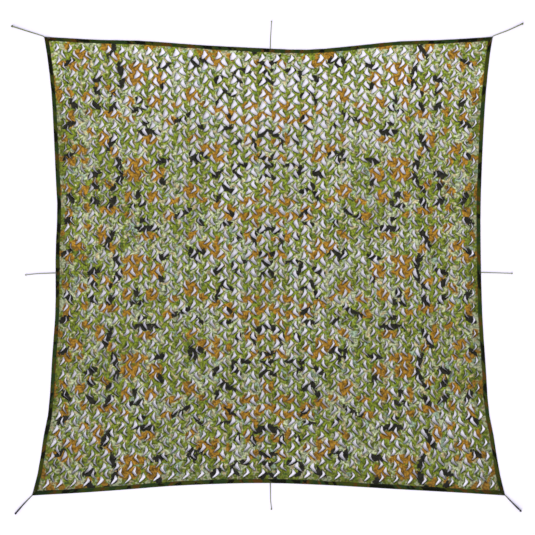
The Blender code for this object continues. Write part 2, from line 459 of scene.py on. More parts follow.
# %% Attributes as arrays
def write(data, name, values):
    """Stores a number or a vector for each point of a mesh."""
    values = np.asarray(values, np.float32)
    kind, key = ("FLOAT", "value") if values.ndim == 1 else ("FLOAT_VECTOR", "vector")
    data.attributes.new(name, kind, "POINT").data.foreach_set(key, values.ravel())


def read(data, name, size):
    """One attribute of a mesh as an array."""
    values = np.zeros(len(data.vertices) * size, np.float32)
    data.attributes[name].data.foreach_get("value" if size == 1 else "vector", values)
    return values.reshape(-1, size).astype(float)


def write_flat(data, name, places):
    """Stores flat coordinates, which a mesh keeps for each corner of each face."""
    corner_points = np.zeros(len(data.loops), np.int32)
    data.loops.foreach_get("vertex_index", corner_points)
    data.uv_layers.new(name=name).data.foreach_set("uv", places[corner_points].ravel())


print("write, read and write_flat are ready")

# %% The braided-cord tree
STRAND_SHARE = 0.36  # of the cord's radius, in one strand
STRAND_SIDES = 6
STRANDS_EACH_WAY = 4
LAY_LENGTH = 3.0  # cord diameters in which a strand goes once round
BRAID_STEP = 1 / 6  # cord diameters between the rings of a drawn strand
OVER_AND_UNDER = 0.07  # how far a strand rises and dips, as a share of its distance out
DRAW_IN = 16.0  # how steeply a swollen cord narrows again where it is drawn into its knot

braid_inputs = {"Radius": float, "Near swell": float, "Far swell": float, "Strands": int,
                "Turns per metre": float, "Step": float, "Material": bpy.types.Material}
braid_graph, braid = new_tree("braided_cord", braid_inputs)
add = braid_graph.add
line = add("GeometryNodeMeshToCurve", {"Mesh": braid["Geometry"]})
centreline = add("GeometryNodeResampleCurve", {"Curve": line, "Length": braid["Step"]}, mode="LENGTH")
travelled = add("GeometryNodeSplineParameter", out=1)
winding = travelled * braid["Turns per metre"] * math.tau
along = add("GeometryNodeSplineParameter")
even_swell = braid["Near swell"] + (braid["Far swell"] - braid["Near swell"]) * along
swell = braid_graph.math("MINIMUM", even_swell, 1 + (1 - along) * DRAW_IN)
crossings = braid_graph.math("COSINE", winding * braid["Strands"]) * OVER_AND_UNDER


def circle(sides, share):
    """A circle whose radius is a share of the cord's."""
    size = {"Resolution": sides, "Radius": braid["Radius"] * share}
    return add("GeometryNodeCurvePrimitiveCircle", size)


middles = circle(braid["Strands"], 1 - STRAND_SHARE)
strand = circle(STRAND_SIDES, STRAND_SHARE)
bundle = add("GeometryNodeInstanceOnPoints", {"Points": middles, "Instance": strand})
profile = add("GeometryNodeRealizeInstances", {"Geometry": bundle})
run_of_cord = {"Geometry": centreline, "Name": "run", "Value": along}
marked = add("GeometryNodeStoreNamedAttribute", run_of_cord)
both_ways = add("GeometryNodeJoinGeometry")
for way in (1, -1):
    wound = add("GeometryNodeSetCurveTilt", {"Curve": marked, "Tilt": winding * way})
    scale = swell * (1 + crossings * way)
    sweep = {"Curve": wound, "Profile Curve": profile, "Scale": scale, "Fill Caps": True}
    both_ways.take(add("GeometryNodeCurveToMesh", sweep))
end_tree(braid_graph, both_ways, braid["Material"])
print("braided cord tree:", len(braid_graph.tree.nodes), "nodes")

# %% Braid a line of edges
def braided(name, data, radius, ends, worn, turns_per_metre):
    """A cord braided along a line of edges. Ends are its swells, worn how grey it is at each."""
    values = {"Radius": radius, "Near swell": ends[0], "Far swell": ends[1], "Strands": STRANDS_EACH_WAY,
              "Turns per metre": turns_per_metre, "Step": BRAID_STEP * 2 * radius,
              "Material": cord_material}
    cord = grown(link_mesh(name, data), braid_graph, values)
    run = read(cord.data, "run", 1)[:, 0]
    write(cord.data, "worn", worn[0] + (worn[1] - worn[0]) * run)
    return cord


print("braided is ready")

# %% [markdown]
# ### Finishes
#
# A finish is a function that draws into a shader's tree and hands back three wires: colour,
# roughness and normal. These helpers keep it short. Most of them find the tree by a wire
# that they are given.

# %% Values and colours over a surface
def field(graph, name):
    """A number that the mesh stores for each of its points."""
    return graph.add("ShaderNodeAttribute", None, "Fac", attribute_name=name)


def unrolled(graph, name):
    """Flat coordinates that the mesh stores."""
    return graph.add("ShaderNodeUVMap", uv_map=name)


def split(vector):
    """The parts of a vector or a colour: the wire is its first, other("Y") its second."""
    return vector.graph.add("ShaderNodeSeparateXYZ", {0: vector})


def scaled(vector, scale):
    return vector.graph.add("ShaderNodeVectorMath", {0: vector, "Scale": scale}, operation="SCALE")


def colours(share, first, second):
    """The first colour where the share is 0, the second where it is 1, and a mix between."""
    return share.graph.add("ShaderNodeMix", {0: share, 6: first, 7: second}, 2, data_type="RGBA")


def noise(place, scale, detail=2.0, roughness=0.5):
    """Soft spots, so many to a metre."""
    sockets = {"Vector": place, "Scale": scale, "Detail": detail, "Roughness": roughness}
    return place.graph.add("ShaderNodeTexNoise", sockets)


def ease(value, low, high):
    """From 0 at low to 1 at high, with soft ends."""
    sockets = {0: value, 1: low, 2: high}
    return value.graph.add("ShaderNodeMapRange", sockets, interpolation_type="SMOOTHSTEP")


print("noise, ease and colours are ready")

# %% Relief and the whole finish
def relief(height, strength, depth, under=None):
    """The normal of a surface with this bump, whose full height is depth in metres."""
    sockets = {"Height": height, "Strength": strength, "Distance": depth}
    if under:
        sockets["Normal"] = under
    return height.graph.add("ShaderNodeBump", sockets)


def cloth_shader(name, draw, sheen, shine):
    """A material whose draw(graph) gives the wires of colour, roughness and normal."""
    made = bpy.data.materials.new(name)
    made.use_nodes = True
    graph = Graph(made.node_tree)
    sockets = {**draw(graph), "Sheen Weight": sheen, "Specular IOR Level": shine}
    shader = graph.add("ShaderNodeBsdfPrincipled", sockets)
    graph.add("ShaderNodeOutputMaterial", {"Surface": shader})
    return made


print("relief and cloth_shader are ready")

# %% [markdown]
# ### The cords' finish
#
# The cord is polypropylene in a dull olive black. Rubbing turns it a dusty grey: most on the
# thin cords half-way along the sides, least towards the ends of the two near corner cords,
# which have soaked up dirt. Fine fibres run along the strands and catch a little light.

# %% Cord material
CORD_GREY = (0.150, 0.180, 0.030, 1.0)
CORD_BLACK = (0.006, 0.007, 0.005, 1.0)
CORD_DUST = (0.14, 0.16, 0.07, 1.0)
FIBRES_PER_METRE = 900.0
FIBRE_DEPTH = 0.0004
RUBBED_SPOTS_PER_METRE = 60.0
RUBBED_WHERE = (0.40, 0.65)  # values of their noise, from not rubbed to fully rubbed
GREYER_WHERE_RUBBED = 0.3
DUSTY = 0.35


def draw_cord(graph):
    place = graph.add("ShaderNodeTexCoord", out="Object")
    worn = field(graph, "worn")
    fibres = noise(place, FIBRES_PER_METRE, detail=3.0)
    rubbed = ease(noise(place, RUBBED_SPOTS_PER_METRE), *RUBBED_WHERE)
    greyness = ease(worn + (rubbed - 0.5) * GREYER_WHERE_RUBBED, 0.0, 1.0)
    colour = colours(greyness, CORD_BLACK, CORD_GREY)
    return {
        "Base Color": colours(fibres * greyness * DUSTY, colour, CORD_DUST),
        "Roughness": 0.5 + fibres * 0.3,
        "Normal": relief(fibres, strength=0.35, depth=FIBRE_DEPTH),
    }


cord_material = cloth_shader("braided_cord", draw_cord, sheen=0.0, shine=0.20)
print("cord material")

# %% Lay the cords
Look = namedtuple("Look", "ends worn")
MIDDLE_LOOK = Look((1.30, 0.95), (0.85, 1.00))
NEAR_CORNER_LOOK = Look((0.85, 1.75), (0.60, 0.00))
FAR_CORNER_LOOK = Look((0.85, 1.15), (0.90, 0.70))


def cord_look(tie):
    """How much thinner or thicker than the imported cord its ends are, and how worn."""
    if tie.along is not AT_CORNER:
        return MIDDLE_LOOK
    return NEAR_CORNER_LOOK if tie.side in (0, 3) else FAR_CORNER_LOOK


def laid_way(tie, ends):
    """The tie's way, raised where its braid is thick enough to reach below the floor."""
    way = tie_ways[tie.name]
    along = np.linspace(0, 1, len(way))
    swells = np.minimum(ends[0] + (ends[1] - ends[0]) * along, 1 + (1 - along) * DRAW_IN)
    lowest = cord_radius(tie) * swells * (1 + OVER_AND_UNDER)
    return [Vector((spot.x, spot.y, max(spot.z, height))) for spot, height in zip(way, lowest)]


laid_ways = {}
drawn_cords = {}
for tie in TIES:
    radius = cord_radius(tie)
    look = cord_look(tie)
    name = f"cord_{tie.name}"
    laid_ways[tie.name] = laid_way(tie, look.ends)
    way_line = line_mesh(name, laid_ways[tie.name])
    turns = 1 / (LAY_LENGTH * 2 * radius)
    drawn_cords[tie.name] = braided(name, way_line, radius, look.ends, look.worn, turns)
print("cords:", sum(len(cord.data.polygons) for cord in drawn_cords.values()), "faces")

# %% [markdown]
# ### Stopper knots
#
# A stopper is an overhand knot pulled tight. Its line is a trefoil: it goes twice round
# while it rises and falls three times. Squeezed to the size of the solid knot it reads as
# the crossed turns of a real one, and the braid tree gives it the same strands. Its winding
# is a whole number of crossings, so that the braid meets itself where the line closes.

# %% Stopper knots
KNOT_POINTS = 48
KNOT_CORD = 0.92  # of the cord's radius: the knot is pulled tight
TREFOIL_REACH = (2.6, 3.0)  # how far a plain trefoil reaches along and across


def knot_frame(tie):
    """A knot's middle and heading, from the end of its cord."""
    way = tie_ways[tie.name]
    half = KNOT_SHAPE * cord_radius(tie)
    heading = (way[-1] - way[-2]).xy.normalized()
    centre = way[-1].xy + heading * (half.x + CLEARANCE)
    return centre, heading, half


def trefoil(tie):
    """The closed line of a pulled overhand knot, inside the solid knot's size."""
    centre, heading, half = knot_frame(tie)
    cord = cord_radius(tie) * KNOT_CORD
    reach = half - Vector((cord, cord, cord))
    points = []
    for k in range(KNOT_POINTS):
        t = math.tau * k / KNOT_POINTS
        along = (math.sin(t) + 2 * math.sin(2 * t)) / TREFOIL_REACH[0] * reach.x
        across = (math.cos(t) - 2 * math.cos(2 * t)) / TREFOIL_REACH[1] * reach.y
        up = half.z + cord * OVER_AND_UNDER - math.sin(3 * t) * reach.z
        spot = centre + heading * along + Vector((-heading.y, heading.x)) * across
        points.append(Vector((*spot, up)))
    return points


knots = {}
for tie in TIES:
    radius = cord_radius(tie) * KNOT_CORD
    loop = trefoil(tie)
    length = sum((after - before).length for before, after in zip(loop, loop[1:] + loop[:1]))
    crossed = round(length / (LAY_LENGTH * 2 * radius) * STRANDS_EACH_WAY)
    turns = crossed / STRANDS_EACH_WAY / length
    worn = cord_look(tie).worn[1]
    knot_line = line_mesh("knot", loop, closed=True)
    knots[tie.name] = braided(f"stopper_{tie.name}", knot_line, radius, (1.0, 1.0), (worn, worn), turns)
print("knots:", sum(len(knot.data.polygons) for knot in knots.values()), "faces")

# %% [markdown]
# ## One leaf
#
# The cutting tool presses a hooked slit: a short arm that slopes down to the hook's bend,
# and a longer arm that runs back under the leaf. Stretched, the slit's outer side bulges
# and the leaf's tip draws back and lifts. So the same twelve lips are written down twice,
# as cut and as open, and any state between the two is a mix.
#
# The leaf sits in a slanted tile whose corners lie in the middle of its neighbours' leaves.
# A triangulation fills the ring between the tile's border and the slit.

# %% The points of a leaf
# In cells across and up, from the middle of the tile. Lift is a share of the leaf's height.
Spot = namedtuple("Spot", "cut open lift")
LIPS = (
    Spot((0.05, 0.36), (0.05, 0.41), 0.25),
    Spot((0.07, 0.20), (-0.02, 0.24), 0.70),
    Spot((0.13, 0.03), (-0.05, 0.07), 1.00),
    Spot((0.04, -0.11), (-0.13, -0.07), 1.00),
    Spot((-0.08, -0.23), (-0.19, -0.20), 0.70),
    Spot((-0.21, -0.385), (-0.17, -0.375), 0.30),
    Spot((-0.09, -0.29), (0.01, -0.31), 0.10),
    Spot((0.04, -0.18), (0.13, -0.21), 0.00),
    Spot((0.15, -0.08), (0.25, -0.10), 0.00),
    Spot((0.22, 0.02), (0.33, 0.03), 0.00),
    Spot((0.17, 0.14), (0.25, 0.16), 0.00),
    Spot((0.12, 0.26), (0.15, 0.30), 0.05),
)
BORDER = (
    Spot((0.02, 0.50), (0.02, 0.50), 0.45),
    Spot((-0.14, 0.10), (-0.21, 0.155), 0.35),
    Spot((-0.52, 0.00), (-0.52, 0.00), 0.50),
    Spot((-0.36, -0.40), (-0.29, -0.345), 0.35),
    Spot((0.02, -0.50), (0.02, -0.50), 0.45),
    Spot((0.23, -0.25), (0.23, -0.25), 0.15),
    Spot((0.48, 0.00), (0.48, 0.00), 0.50),
    Spot((0.27, 0.25), (0.27, 0.25), 0.15),
)
BACKS = (
    Spot((-0.26, -0.22), (-0.28, -0.18), 0.72),
    Spot((-0.28, -0.05), (-0.29, -0.03), 0.80),
    Spot((-0.16, 0.06), (-0.20, 0.08), 0.75),
)
print(f"{len(LIPS)} lips, {len(BORDER)} border points and {len(BACKS)} on the leaf's back")

# %% Make the leaf
def fill_between(places, outer, inner, nearness):
    """Triangles that fill the room between an outer loop of places and an inner one."""
    holes_left_out = 2
    return delaunay_2d_cdt(places, [], [outer, inner], holes_left_out, nearness)[2]


def leaf_mesh(name, facing):
    """One tile with its slit as cut. Its attributes say how each point moves when it opens."""
    spots = (*LIPS, *BORDER, *BACKS)
    halfway = [(Vector(spot.cut) + Vector(spot.open)) / 2 for spot in spots]
    slit = list(range(len(LIPS)))
    border = [len(LIPS) + k for k in range(len(BORDER))]
    faces = fill_between(halfway, border, slit, NEARLY)
    data = bpy.data.meshes.new(name)
    points = [(facing * spot.cut[0], spot.cut[1], 0.0) for spot in spots]
    data.from_pydata(points, [], [face[::facing] for face in faces])
    shifts = [(facing * (spot.open[0] - spot.cut[0]), spot.open[1] - spot.cut[1], 0.0) for spot in spots]
    write(data, "opening", shifts)
    write(data, "lift", [spot.lift for spot in spots])
    write(data, "lip", [float(spot in LIPS) for spot in spots])
    return data


right_leaf = bpy.data.objects.new("right_leaf", leaf_mesh("right_leaf", 1))
left_leaf = bpy.data.objects.new("left_leaf", leaf_mesh("left_leaf", -1))
print("one leaf:", len(right_leaf.data.vertices), "points,", len(right_leaf.data.polygons), "faces")

# %% [markdown]
# ## Repeating the leaf, by Geometry Nodes
#
# Rows of leaves face right and left in turn, half a cell apart. Two grids of points carry
# the two kinds, each copy remembers its own place and a random number, and merging joins
# the tiles along their shared borders into one cloth with two thousand slits.

# %% The leaf-cut tree
COLUMNS = 32
ROWS = 34
MERGE_DISTANCE = 0.001  # in cells

cut_inputs = {"Columns": int, "Rows": int, "Right leaf": bpy.types.Object, "Left leaf": bpy.types.Object,
              "Seed": int, "Material": bpy.types.Material}
cut_graph, cut = new_tree("leaf_cut", cut_inputs)


def remember(graph, copies, name, value, kind):
    """Stores a value for each copy under a name."""
    sockets = {"Geometry": copies, "Name": name, "Value": value}
    return graph.add("GeometryNodeStoreNamedAttribute", sockets, domain="INSTANCE", data_type=kind)


def leaf_rows(graph, columns, rows, leaf, seed):
    """A grid of leaves one cell apart, each with its own place and random number."""
    size = {"Size X": columns - 1, "Size Y": rows - 1, "Vertices X": columns, "Vertices Y": rows}
    grid = graph.add("GeometryNodeMeshGrid", size)
    shape = graph.add("GeometryNodeObjectInfo", {"Object": leaf}, out="Geometry")
    placed = graph.add("GeometryNodeInstanceOnPoints", {"Points": grid, "Instance": shape})
    chance = graph.add("FunctionNodeRandomValue", {"Seed": seed}, 1, data_type="FLOAT")
    with_chance = remember(graph, placed, "chance", chance, "FLOAT")
    place = graph.add("GeometryNodeInputPosition")
    return remember(graph, with_chance, "middle", place, "FLOAT_VECTOR")


facing_right = leaf_rows(cut_graph, cut["Columns"], cut["Rows"], cut["Right leaf"], cut["Seed"])
facing_left = leaf_rows(
    cut_graph, cut["Columns"] - 1, cut["Rows"] - 1, cut["Left leaf"], cut["Seed"] + 1
)
both = cut_graph.add("GeometryNodeJoinGeometry")
both.take(facing_right)
both.take(facing_left)
real_leaves = cut_graph.add("GeometryNodeRealizeInstances", {"Geometry": both})
joined = cut_graph.add("GeometryNodeMergeByDistance", {"Geometry": real_leaves, "Distance": MERGE_DISTANCE})
end_tree(cut_graph, joined, cut["Material"])
print("leaf-cut tree:", len(cut_graph.tree.nodes), "nodes")

# %% [markdown]
# ## The print
#
# The cloth is roller-printed with an ordinary woodland print: tan and black patches on
# mixed greens. The roller repeats every 0.64 m up the cloth, and the pieces are laid so that
# the two halves mirror each other. One half's repeat is charted below as rounded patches,
# and the material frays their outlines with noise, so no two edges look ruled.

# %% Tan patches
REPEAT = 0.64
MIRROR_LINE = -0.006
CHART_TOP = 1.235  # height on the net at which a repeat starts

# Metres from the mirror line, and down from the top of the repeat. Turn is anticlockwise.
Patch = namedtuple("Patch", "across down long wide turn")
TAN_PATCHES = (
    Patch(0.02, 0.13, 0.050, 0.015, 80),
    Patch(0.05, 0.28, 0.055, 0.025, -35),
    Patch(0.08, 0.36, 0.030, 0.020, 60),
    Patch(0.09, 0.56, 0.040, 0.020, -40),
    Patch(0.05, 0.46, 0.030, 0.020, -30),
    Patch(0.00, 0.57, 0.030, 0.020, 0),
    Patch(0.12, 0.21, 0.060, 0.025, -10),
    Patch(0.15, 0.31, 0.045, 0.025, 0),
    Patch(0.13, 0.44, 0.045, 0.020, 90),
    Patch(0.25, 0.26, 0.040, 0.025, 0),
    Patch(0.25, 0.31, 0.040, 0.025, 0),
    Patch(0.34, 0.24, 0.045, 0.020, -30),
    Patch(0.25, 0.52, 0.025, 0.020, 90),
    Patch(0.33, 0.49, 0.045, 0.020, 90),
    Patch(0.33, 0.56, 0.060, 0.025, 20),
    Patch(0.41, 0.50, 0.045, 0.030, 0),
    Patch(0.42, 0.20, 0.030, 0.020, 0),
    Patch(0.49, 0.43, 0.045, 0.020, -40),
    Patch(0.50, 0.14, 0.050, 0.045, 30),
    Patch(0.61, 0.21, 0.045, 0.020, -15),
    Patch(0.64, 0.31, 0.040, 0.025, 0),
    Patch(0.72, 0.03, 0.050, 0.040, -45),
    Patch(0.75, 0.18, 0.045, 0.035, -40),
    Patch(0.78, 0.44, 0.060, 0.025, 0),
    Patch(0.86, 0.59, 0.085, 0.030, 0),
    Patch(0.88, 0.03, 0.065, 0.045, 0),
    Patch(0.91, 0.18, 0.040, 0.025, 90),
    Patch(0.91, 0.30, 0.030, 0.020, 0),
    Patch(1.01, 0.52, 0.030, 0.025, 70),
    Patch(1.03, 0.27, 0.065, 0.025, 0),
    Patch(1.08, 0.43, 0.055, 0.030, 90),
    Patch(1.18, 0.25, 0.030, 0.020, 90),
    Patch(1.20, 0.58, 0.025, 0.020, 0),
    Patch(1.30, 0.30, 0.055, 0.025, 90),
    Patch(1.31, 0.12, 0.035, 0.020, 45),
    Patch(1.34, 0.43, 0.030, 0.020, 90),
    Patch(1.20, 0.14, 0.040, 0.025, -45),
    Patch(1.24, 0.50, 0.050, 0.030, 20),
    Patch(1.29, 0.58, 0.035, 0.030, 60),
    Patch(1.38, 0.14, 0.060, 0.025, 80),
    Patch(1.36, 0.56, 0.040, 0.020, 0),
    Patch(1.17, 0.38, 0.035, 0.020, 45),
    Patch(1.42, 0.34, 0.040, 0.020, 80),
    Patch(1.44, 0.02, 0.050, 0.025, 60),
    Patch(1.04, 0.10, 0.045, 0.020, 45),
    Patch(1.13, 0.09, 0.040, 0.015, 80),
)
print(len(TAN_PATCHES), "tan patches in a repeat")

# %% Black patches
BLACK_PATCHES = (
    Patch(0.03, 0.05, 0.035, 0.015, -45),
    Patch(0.04, 0.40, 0.045, 0.020, -30),
    Patch(0.03, 0.56, 0.035, 0.015, 20),
    Patch(0.01, 0.62, 0.035, 0.015, 30),
    Patch(0.09, 0.47, 0.050, 0.015, 80),
    Patch(0.15, 0.61, 0.045, 0.015, 10),
    Patch(0.20, 0.03, 0.040, 0.015, 45),
    Patch(0.22, 0.63, 0.030, 0.015, -75),
    Patch(0.24, 0.14, 0.040, 0.015, 20),
    Patch(0.24, 0.29, 0.045, 0.015, 40),
    Patch(0.27, 0.36, 0.045, 0.015, -10),
    Patch(0.19, 0.45, 0.035, 0.015, -60),
    Patch(0.29, 0.11, 0.035, 0.015, -60),
    Patch(0.32, 0.18, 0.045, 0.015, -75),
    Patch(0.42, 0.54, 0.035, 0.015, 40),
    Patch(0.44, 0.35, 0.035, 0.015, 50),
    Patch(0.46, 0.57, 0.045, 0.015, 90),
    Patch(0.50, 0.55, 0.045, 0.015, 90),
    Patch(0.53, 0.28, 0.060, 0.015, -35),
    Patch(0.60, 0.31, 0.025, 0.015, -45),
    Patch(0.69, 0.58, 0.050, 0.020, -15),
    Patch(0.69, 0.08, 0.030, 0.020, 60),
    Patch(0.79, 0.39, 0.080, 0.020, 0),
    Patch(0.81, 0.33, 0.030, 0.015, 0),
    Patch(0.82, 0.23, 0.030, 0.015, -40),
    Patch(0.85, 0.17, 0.030, 0.020, 90),
    Patch(0.88, 0.24, 0.030, 0.015, -35),
    Patch(0.97, 0.06, 0.045, 0.020, -70),
    Patch(0.98, 0.60, 0.055, 0.020, 75),
    Patch(1.02, 0.13, 0.030, 0.015, -45),
    Patch(1.03, 0.46, 0.075, 0.020, -65),
    Patch(1.13, 0.11, 0.035, 0.020, 50),
    Patch(1.13, 0.03, 0.045, 0.020, -20),
    Patch(1.13, 0.21, 0.040, 0.020, 40),
    Patch(1.02, 0.22, 0.045, 0.020, -55),
    Patch(1.32, 0.55, 0.050, 0.015, -30),
    Patch(0.33, 0.03, 0.045, 0.020, -35),
    Patch(1.29, 0.19, 0.045, 0.020, 55),
    Patch(1.31, 0.34, 0.045, 0.020, -30),
)
print(len(BLACK_PATCHES), "black patches in a repeat")

# %% How far inside a patch
def patch_field(patches, places):
    """How far inside a patch each place lies: 1 at its middle, 0 at its outline, down to -1."""
    across = np.abs(places[:, 0] - MIRROR_LINE)
    down = CHART_TOP - places[:, 1]
    field = np.full(len(places), -1.0)
    for patch in patches:
        x = across - patch.across
        y = (down - patch.down + REPEAT / 2) % REPEAT - REPEAT / 2
        turn = math.radians(patch.turn)
        long = (x * math.cos(turn) - y * math.sin(turn)) / patch.long
        wide = (x * math.sin(turn) + y * math.cos(turn)) / patch.wide
        field = np.maximum(field, 1 - np.hypot(long, wide))
    return field


print(f"at the middle of the net, tan comes to {patch_field(TAN_PATCHES, np.zeros((1, 2)))[0]:.2f}")

# %% [markdown]
# ### The cloth's finish
#
# Four greens with khaki flecks lie under the patches. The yarns are dyed a little unevenly
# and in streaks, the weave is a plain one of coarse polyester, and the slits are cut with a
# hot edge that seals the lips. Painted shade darkens the cloth beside the lips, on the raised
# tips of the leaves, in the gathered cloth by the tape and at the near corners, and towards
# the bottom of the net, and painted light and shade make each leaf a little lighter or
# darker. The print, the dye and the weave read the cloth's own flat coordinates, so the print
# stays with the yarns when a leaf lifts, and jumps where a gap opens.

# %% The cloth's colours and grain
OLIVE = (0.152, 0.192, 0.016, 1.0)
LEAF_GREEN = (0.068, 0.122, 0.018, 1.0)
PALE_SAGE = (0.345, 0.385, 0.232, 1.0)
GREY_GREEN = (0.235, 0.315, 0.220, 1.0)
KHAKI = (0.370, 0.270, 0.130, 1.0)
TAN = (0.270, 0.140, 0.012, 1.0)
BLACK = (0.014, 0.0135, 0.008, 1.0)
LIP_COLOUR = (0.30, 0.32, 0.20)
PRINT_FRAY = 1.8
PATCH_LEVEL = 0.40
YARNS_PER_METRE = 900.0
CREASE_DEPTH = 0.012
WEAVE_DEPTH = 0.0003
print(f"the yarns are {1000 / YARNS_PER_METRE:.1f} mm apart")

# %% Noises, and where they take effect
# Features per metre, detail and roughness.
FRAY = (42.0, 3.0, 0.6)
DRIFTS = (7.0, 1.0, 0.5)
MOTTLES = (30.0, 1.5, 0.5)
DEEP_GREENS = (34.0, 3.0, 0.6)
GREY_GREENS = (19.0, 2.0, 0.5)
KHAKI_FLECKS = (30.0, 2.0, 0.6)
DYE = (120.0, 4.0, 0.7)
STREAKS = (70.0, 2.0, 0.5)
CREASES = (14.0, 3.0, 0.55)

# Where a value takes effect: not at all at the first number, fully at the second.
PRINTED_WHERE = (-0.12, -0.04)
SAGE_WHERE = (0.500, 0.540)
GREEN_WHERE = (0.57, 0.62)
GREY_WHERE = (0.63, 0.66)
KHAKI_WHERE = (0.54, 0.66)
STREAKED_WHERE = (0.36, 0.62)
LIP_WHERE = (0.30, 1.0)
RAISED_WHERE = (0.50, 1.0)

# The ground: what sways it between olive and sage, and how much khaki covers of it.
DRIFT_SHARE = 0.4  # with the mottles as the rest
OLIVE_LIPS = 0.03
LIP_BALANCE = 0.40  # between plain cloth, which tends to sage, and a lip, which tends to olive
UNLIKE_LEAVES = 0.06
KHAKI_STRENGTH = 0.8
print(f"patches are frayed by spots {1000 / FRAY[0]:.0f} mm apart")

# %% Brightness
# At its lowest, what each cause adds to it, and what each takes from it.
DARKEST = 0.18
BY_DYE = 0.25
BY_STREAKS = 0.78
BY_YARNS = 0.10
# Painted light and shade: each leaf a little lighter or darker, as if tilted its own way to the light.
LIGHT_AND_SHADE_BY_LEAF = 0.36
BARE = 1.14  # away from the slits
# Painted shade beside the lips of the slits.
SHADE_AT_THE_LIPS = 0.60
# Painted shade on the raised tips of the leaves.
SHADE_ON_RAISED_TIPS = 0.48
# Painted shade in the gathered cloth beside the tape and at the near corners.
SHADE_WHERE_GATHERED = 0.45
# Painted shade towards the bottom of the net: none of it at the top edge, the most at the bottom.
UNSHADED_AT_TOP = 1.04  # at the far edge, where no cloth hangs slack
SHADE_TOWARDS_BOTTOM = 0.20
brightest = DARKEST + BY_DYE + BY_STREAKS + BY_YARNS + LIGHT_AND_SHADE_BY_LEAF
print(f"bare cloth lies between {DARKEST * BARE:.2f} and {brightest * BARE:.2f} of its printed colour")

# %% Weave and fray
def weave(place, yarns):
    """Height of a plain weave: warp and weft crests that pass over each other in turn."""
    parts = split(scaled(place, yarns * math.pi))
    across = place.graph.math("SINE", parts)
    up = place.graph.math("SINE", parts.other("Y"))
    return across * up * 0.5 + 0.5


def printed_where(graph, name, fray):
    """1 where a colour was printed: inside its patches, less what the fray takes away."""
    level = graph.math("MINIMUM", field(graph, name), PATCH_LEVEL)
    return ease(level + fray, *PRINTED_WHERE)


print("weave and printed_where are ready")

# %% The ground and its brightness
def mixed_greens(graph, place):
    """The ground of the print. Lips are a little likelier to be olive, and leaves differ."""
    broad = noise(place, *DRIFTS) * DRIFT_SHARE + noise(place, *MOTTLES) * (1 - DRIFT_SHARE)
    broad = broad + (LIP_BALANCE - field(graph, "lip")) * OLIVE_LIPS
    broad = broad + (field(graph, "chance") - 0.5) * UNLIKE_LEAVES
    deep = noise(place, *DEEP_GREENS)
    grey = split(noise(place, *GREY_GREENS).other("Color")).other("Y")
    khaki = split(noise(place, *KHAKI_FLECKS).other("Color"))
    greens = colours(ease(broad, *SAGE_WHERE), OLIVE, PALE_SAGE)
    greens = colours(ease(deep, *GREEN_WHERE), greens, LEAF_GREEN)
    greens = colours(ease(grey, *GREY_WHERE), greens, GREY_GREEN)
    return colours(ease(khaki, *KHAKI_WHERE) * KHAKI_STRENGTH, greens, KHAKI)


def brightness(graph, place, yarns):
    """The cloth's own lightness, with painted shade and each leaf's painted light and shade."""
    dye = noise(place, *DYE)
    streaks = ease(noise(place, *STREAKS), *STREAKED_WHERE)
    # painted light and shade, different on each leaf
    painted_leaf_light = field(graph, "chance") * LIGHT_AND_SHADE_BY_LEAF
    shade = DARKEST + dye * BY_DYE + streaks * BY_STREAKS + yarns * BY_YARNS + painted_leaf_light
    # Painted shade: darker beside the lips, on the raised leaf tips, in gathered cloth, and towards the
    # bottom of the net.
    lip_shade = BARE - ease(field(graph, "lip"), *LIP_WHERE) * SHADE_AT_THE_LIPS
    raised = 1 - ease(field(graph, "raised"), *RAISED_WHERE) * SHADE_ON_RAISED_TIPS
    gathered = 1 - field(graph, "gathered") * SHADE_WHERE_GATHERED
    bottom_shade = UNSHADED_AT_TOP - field(graph, "slack") * SHADE_TOWARDS_BOTTOM
    return shade * (lip_shade * raised) * (gathered * bottom_shade)


print("mixed_greens and brightness are ready")

# %% Draw the cloth
def draw_cloth(graph):
    place = unrolled(graph, "flat")
    fray = (noise(place, *FRAY) - 0.5) * PRINT_FRAY
    tan = printed_where(graph, "tan_print", fray)
    black = printed_where(graph, "black_print", fray * -1)
    printed = colours(black, colours(tan, mixed_greens(graph, place), TAN), BLACK)
    yarns = weave(place, YARNS_PER_METRE)
    crumpled = relief(noise(place, *CREASES), strength=0.5, depth=CREASE_DEPTH)
    return {
        "Base Color": scaled(printed, brightness(graph, place, yarns)),
        "Roughness": 0.72 + yarns * 0.12,
        "Normal": relief(yarns, strength=0.25, depth=WEAVE_DEPTH, under=crumpled),
    }


cloth_material = cloth_shader("printed_cloth", draw_cloth, sheen=0.04, shine=0.15)
lip_material = plain_material("cut_lip", LIP_COLOUR, roughness=0.8)
print("cloth material:", len(cloth_material.node_tree.nodes), "nodes")

# %% [markdown]
# ## Stretching the cloth
#
# The merged cloth is still a flat rectangle of cells. A patch between the four sides carries
# each point to its place on the net: it blends the sides across and up, so the columns bow
# with the outline. How far a slit opens depends on where it is: the top and the middle have
# been pulled wide, the flanks hang closed, and the near corners are in between.

# %% Where the slits open
WIDEST = 1.02
HANGING = 0.32  # how far the slits open where nothing pulls them wider
AT_THE_TOP = 0.54
LESS_AT_TOP_CORNERS = 0.58
ALONG_THE_MIDDLE = 0.26
MIDDLE_REACH = 0.38
AT_THE_EDGE = 0.20
UNEVENLY = 0.13
UNEVEN_LENGTH = 0.42  # of its waves, in metres
ALL_IN_ALL = 0.85

# More places where the cloth is pulled wider: how much, how far from the middle line, at what
# height on the net, and how far that reaches each way.
Pull = namedtuple("Pull", "much side height side_reach height_reach")
PULLS = (
    Pull(0.15, 0.35, 0.75, 0.35, 0.35),
    Pull(0.26, 0.35, -0.03, 0.40, 0.16),
    Pull(0.16, 1.00, -0.25, 0.35, 0.28),
    Pull(0.26, 1.05, -1.15, 0.45, 0.28),
)
print(len(PULLS), "pulls on each half of the net")

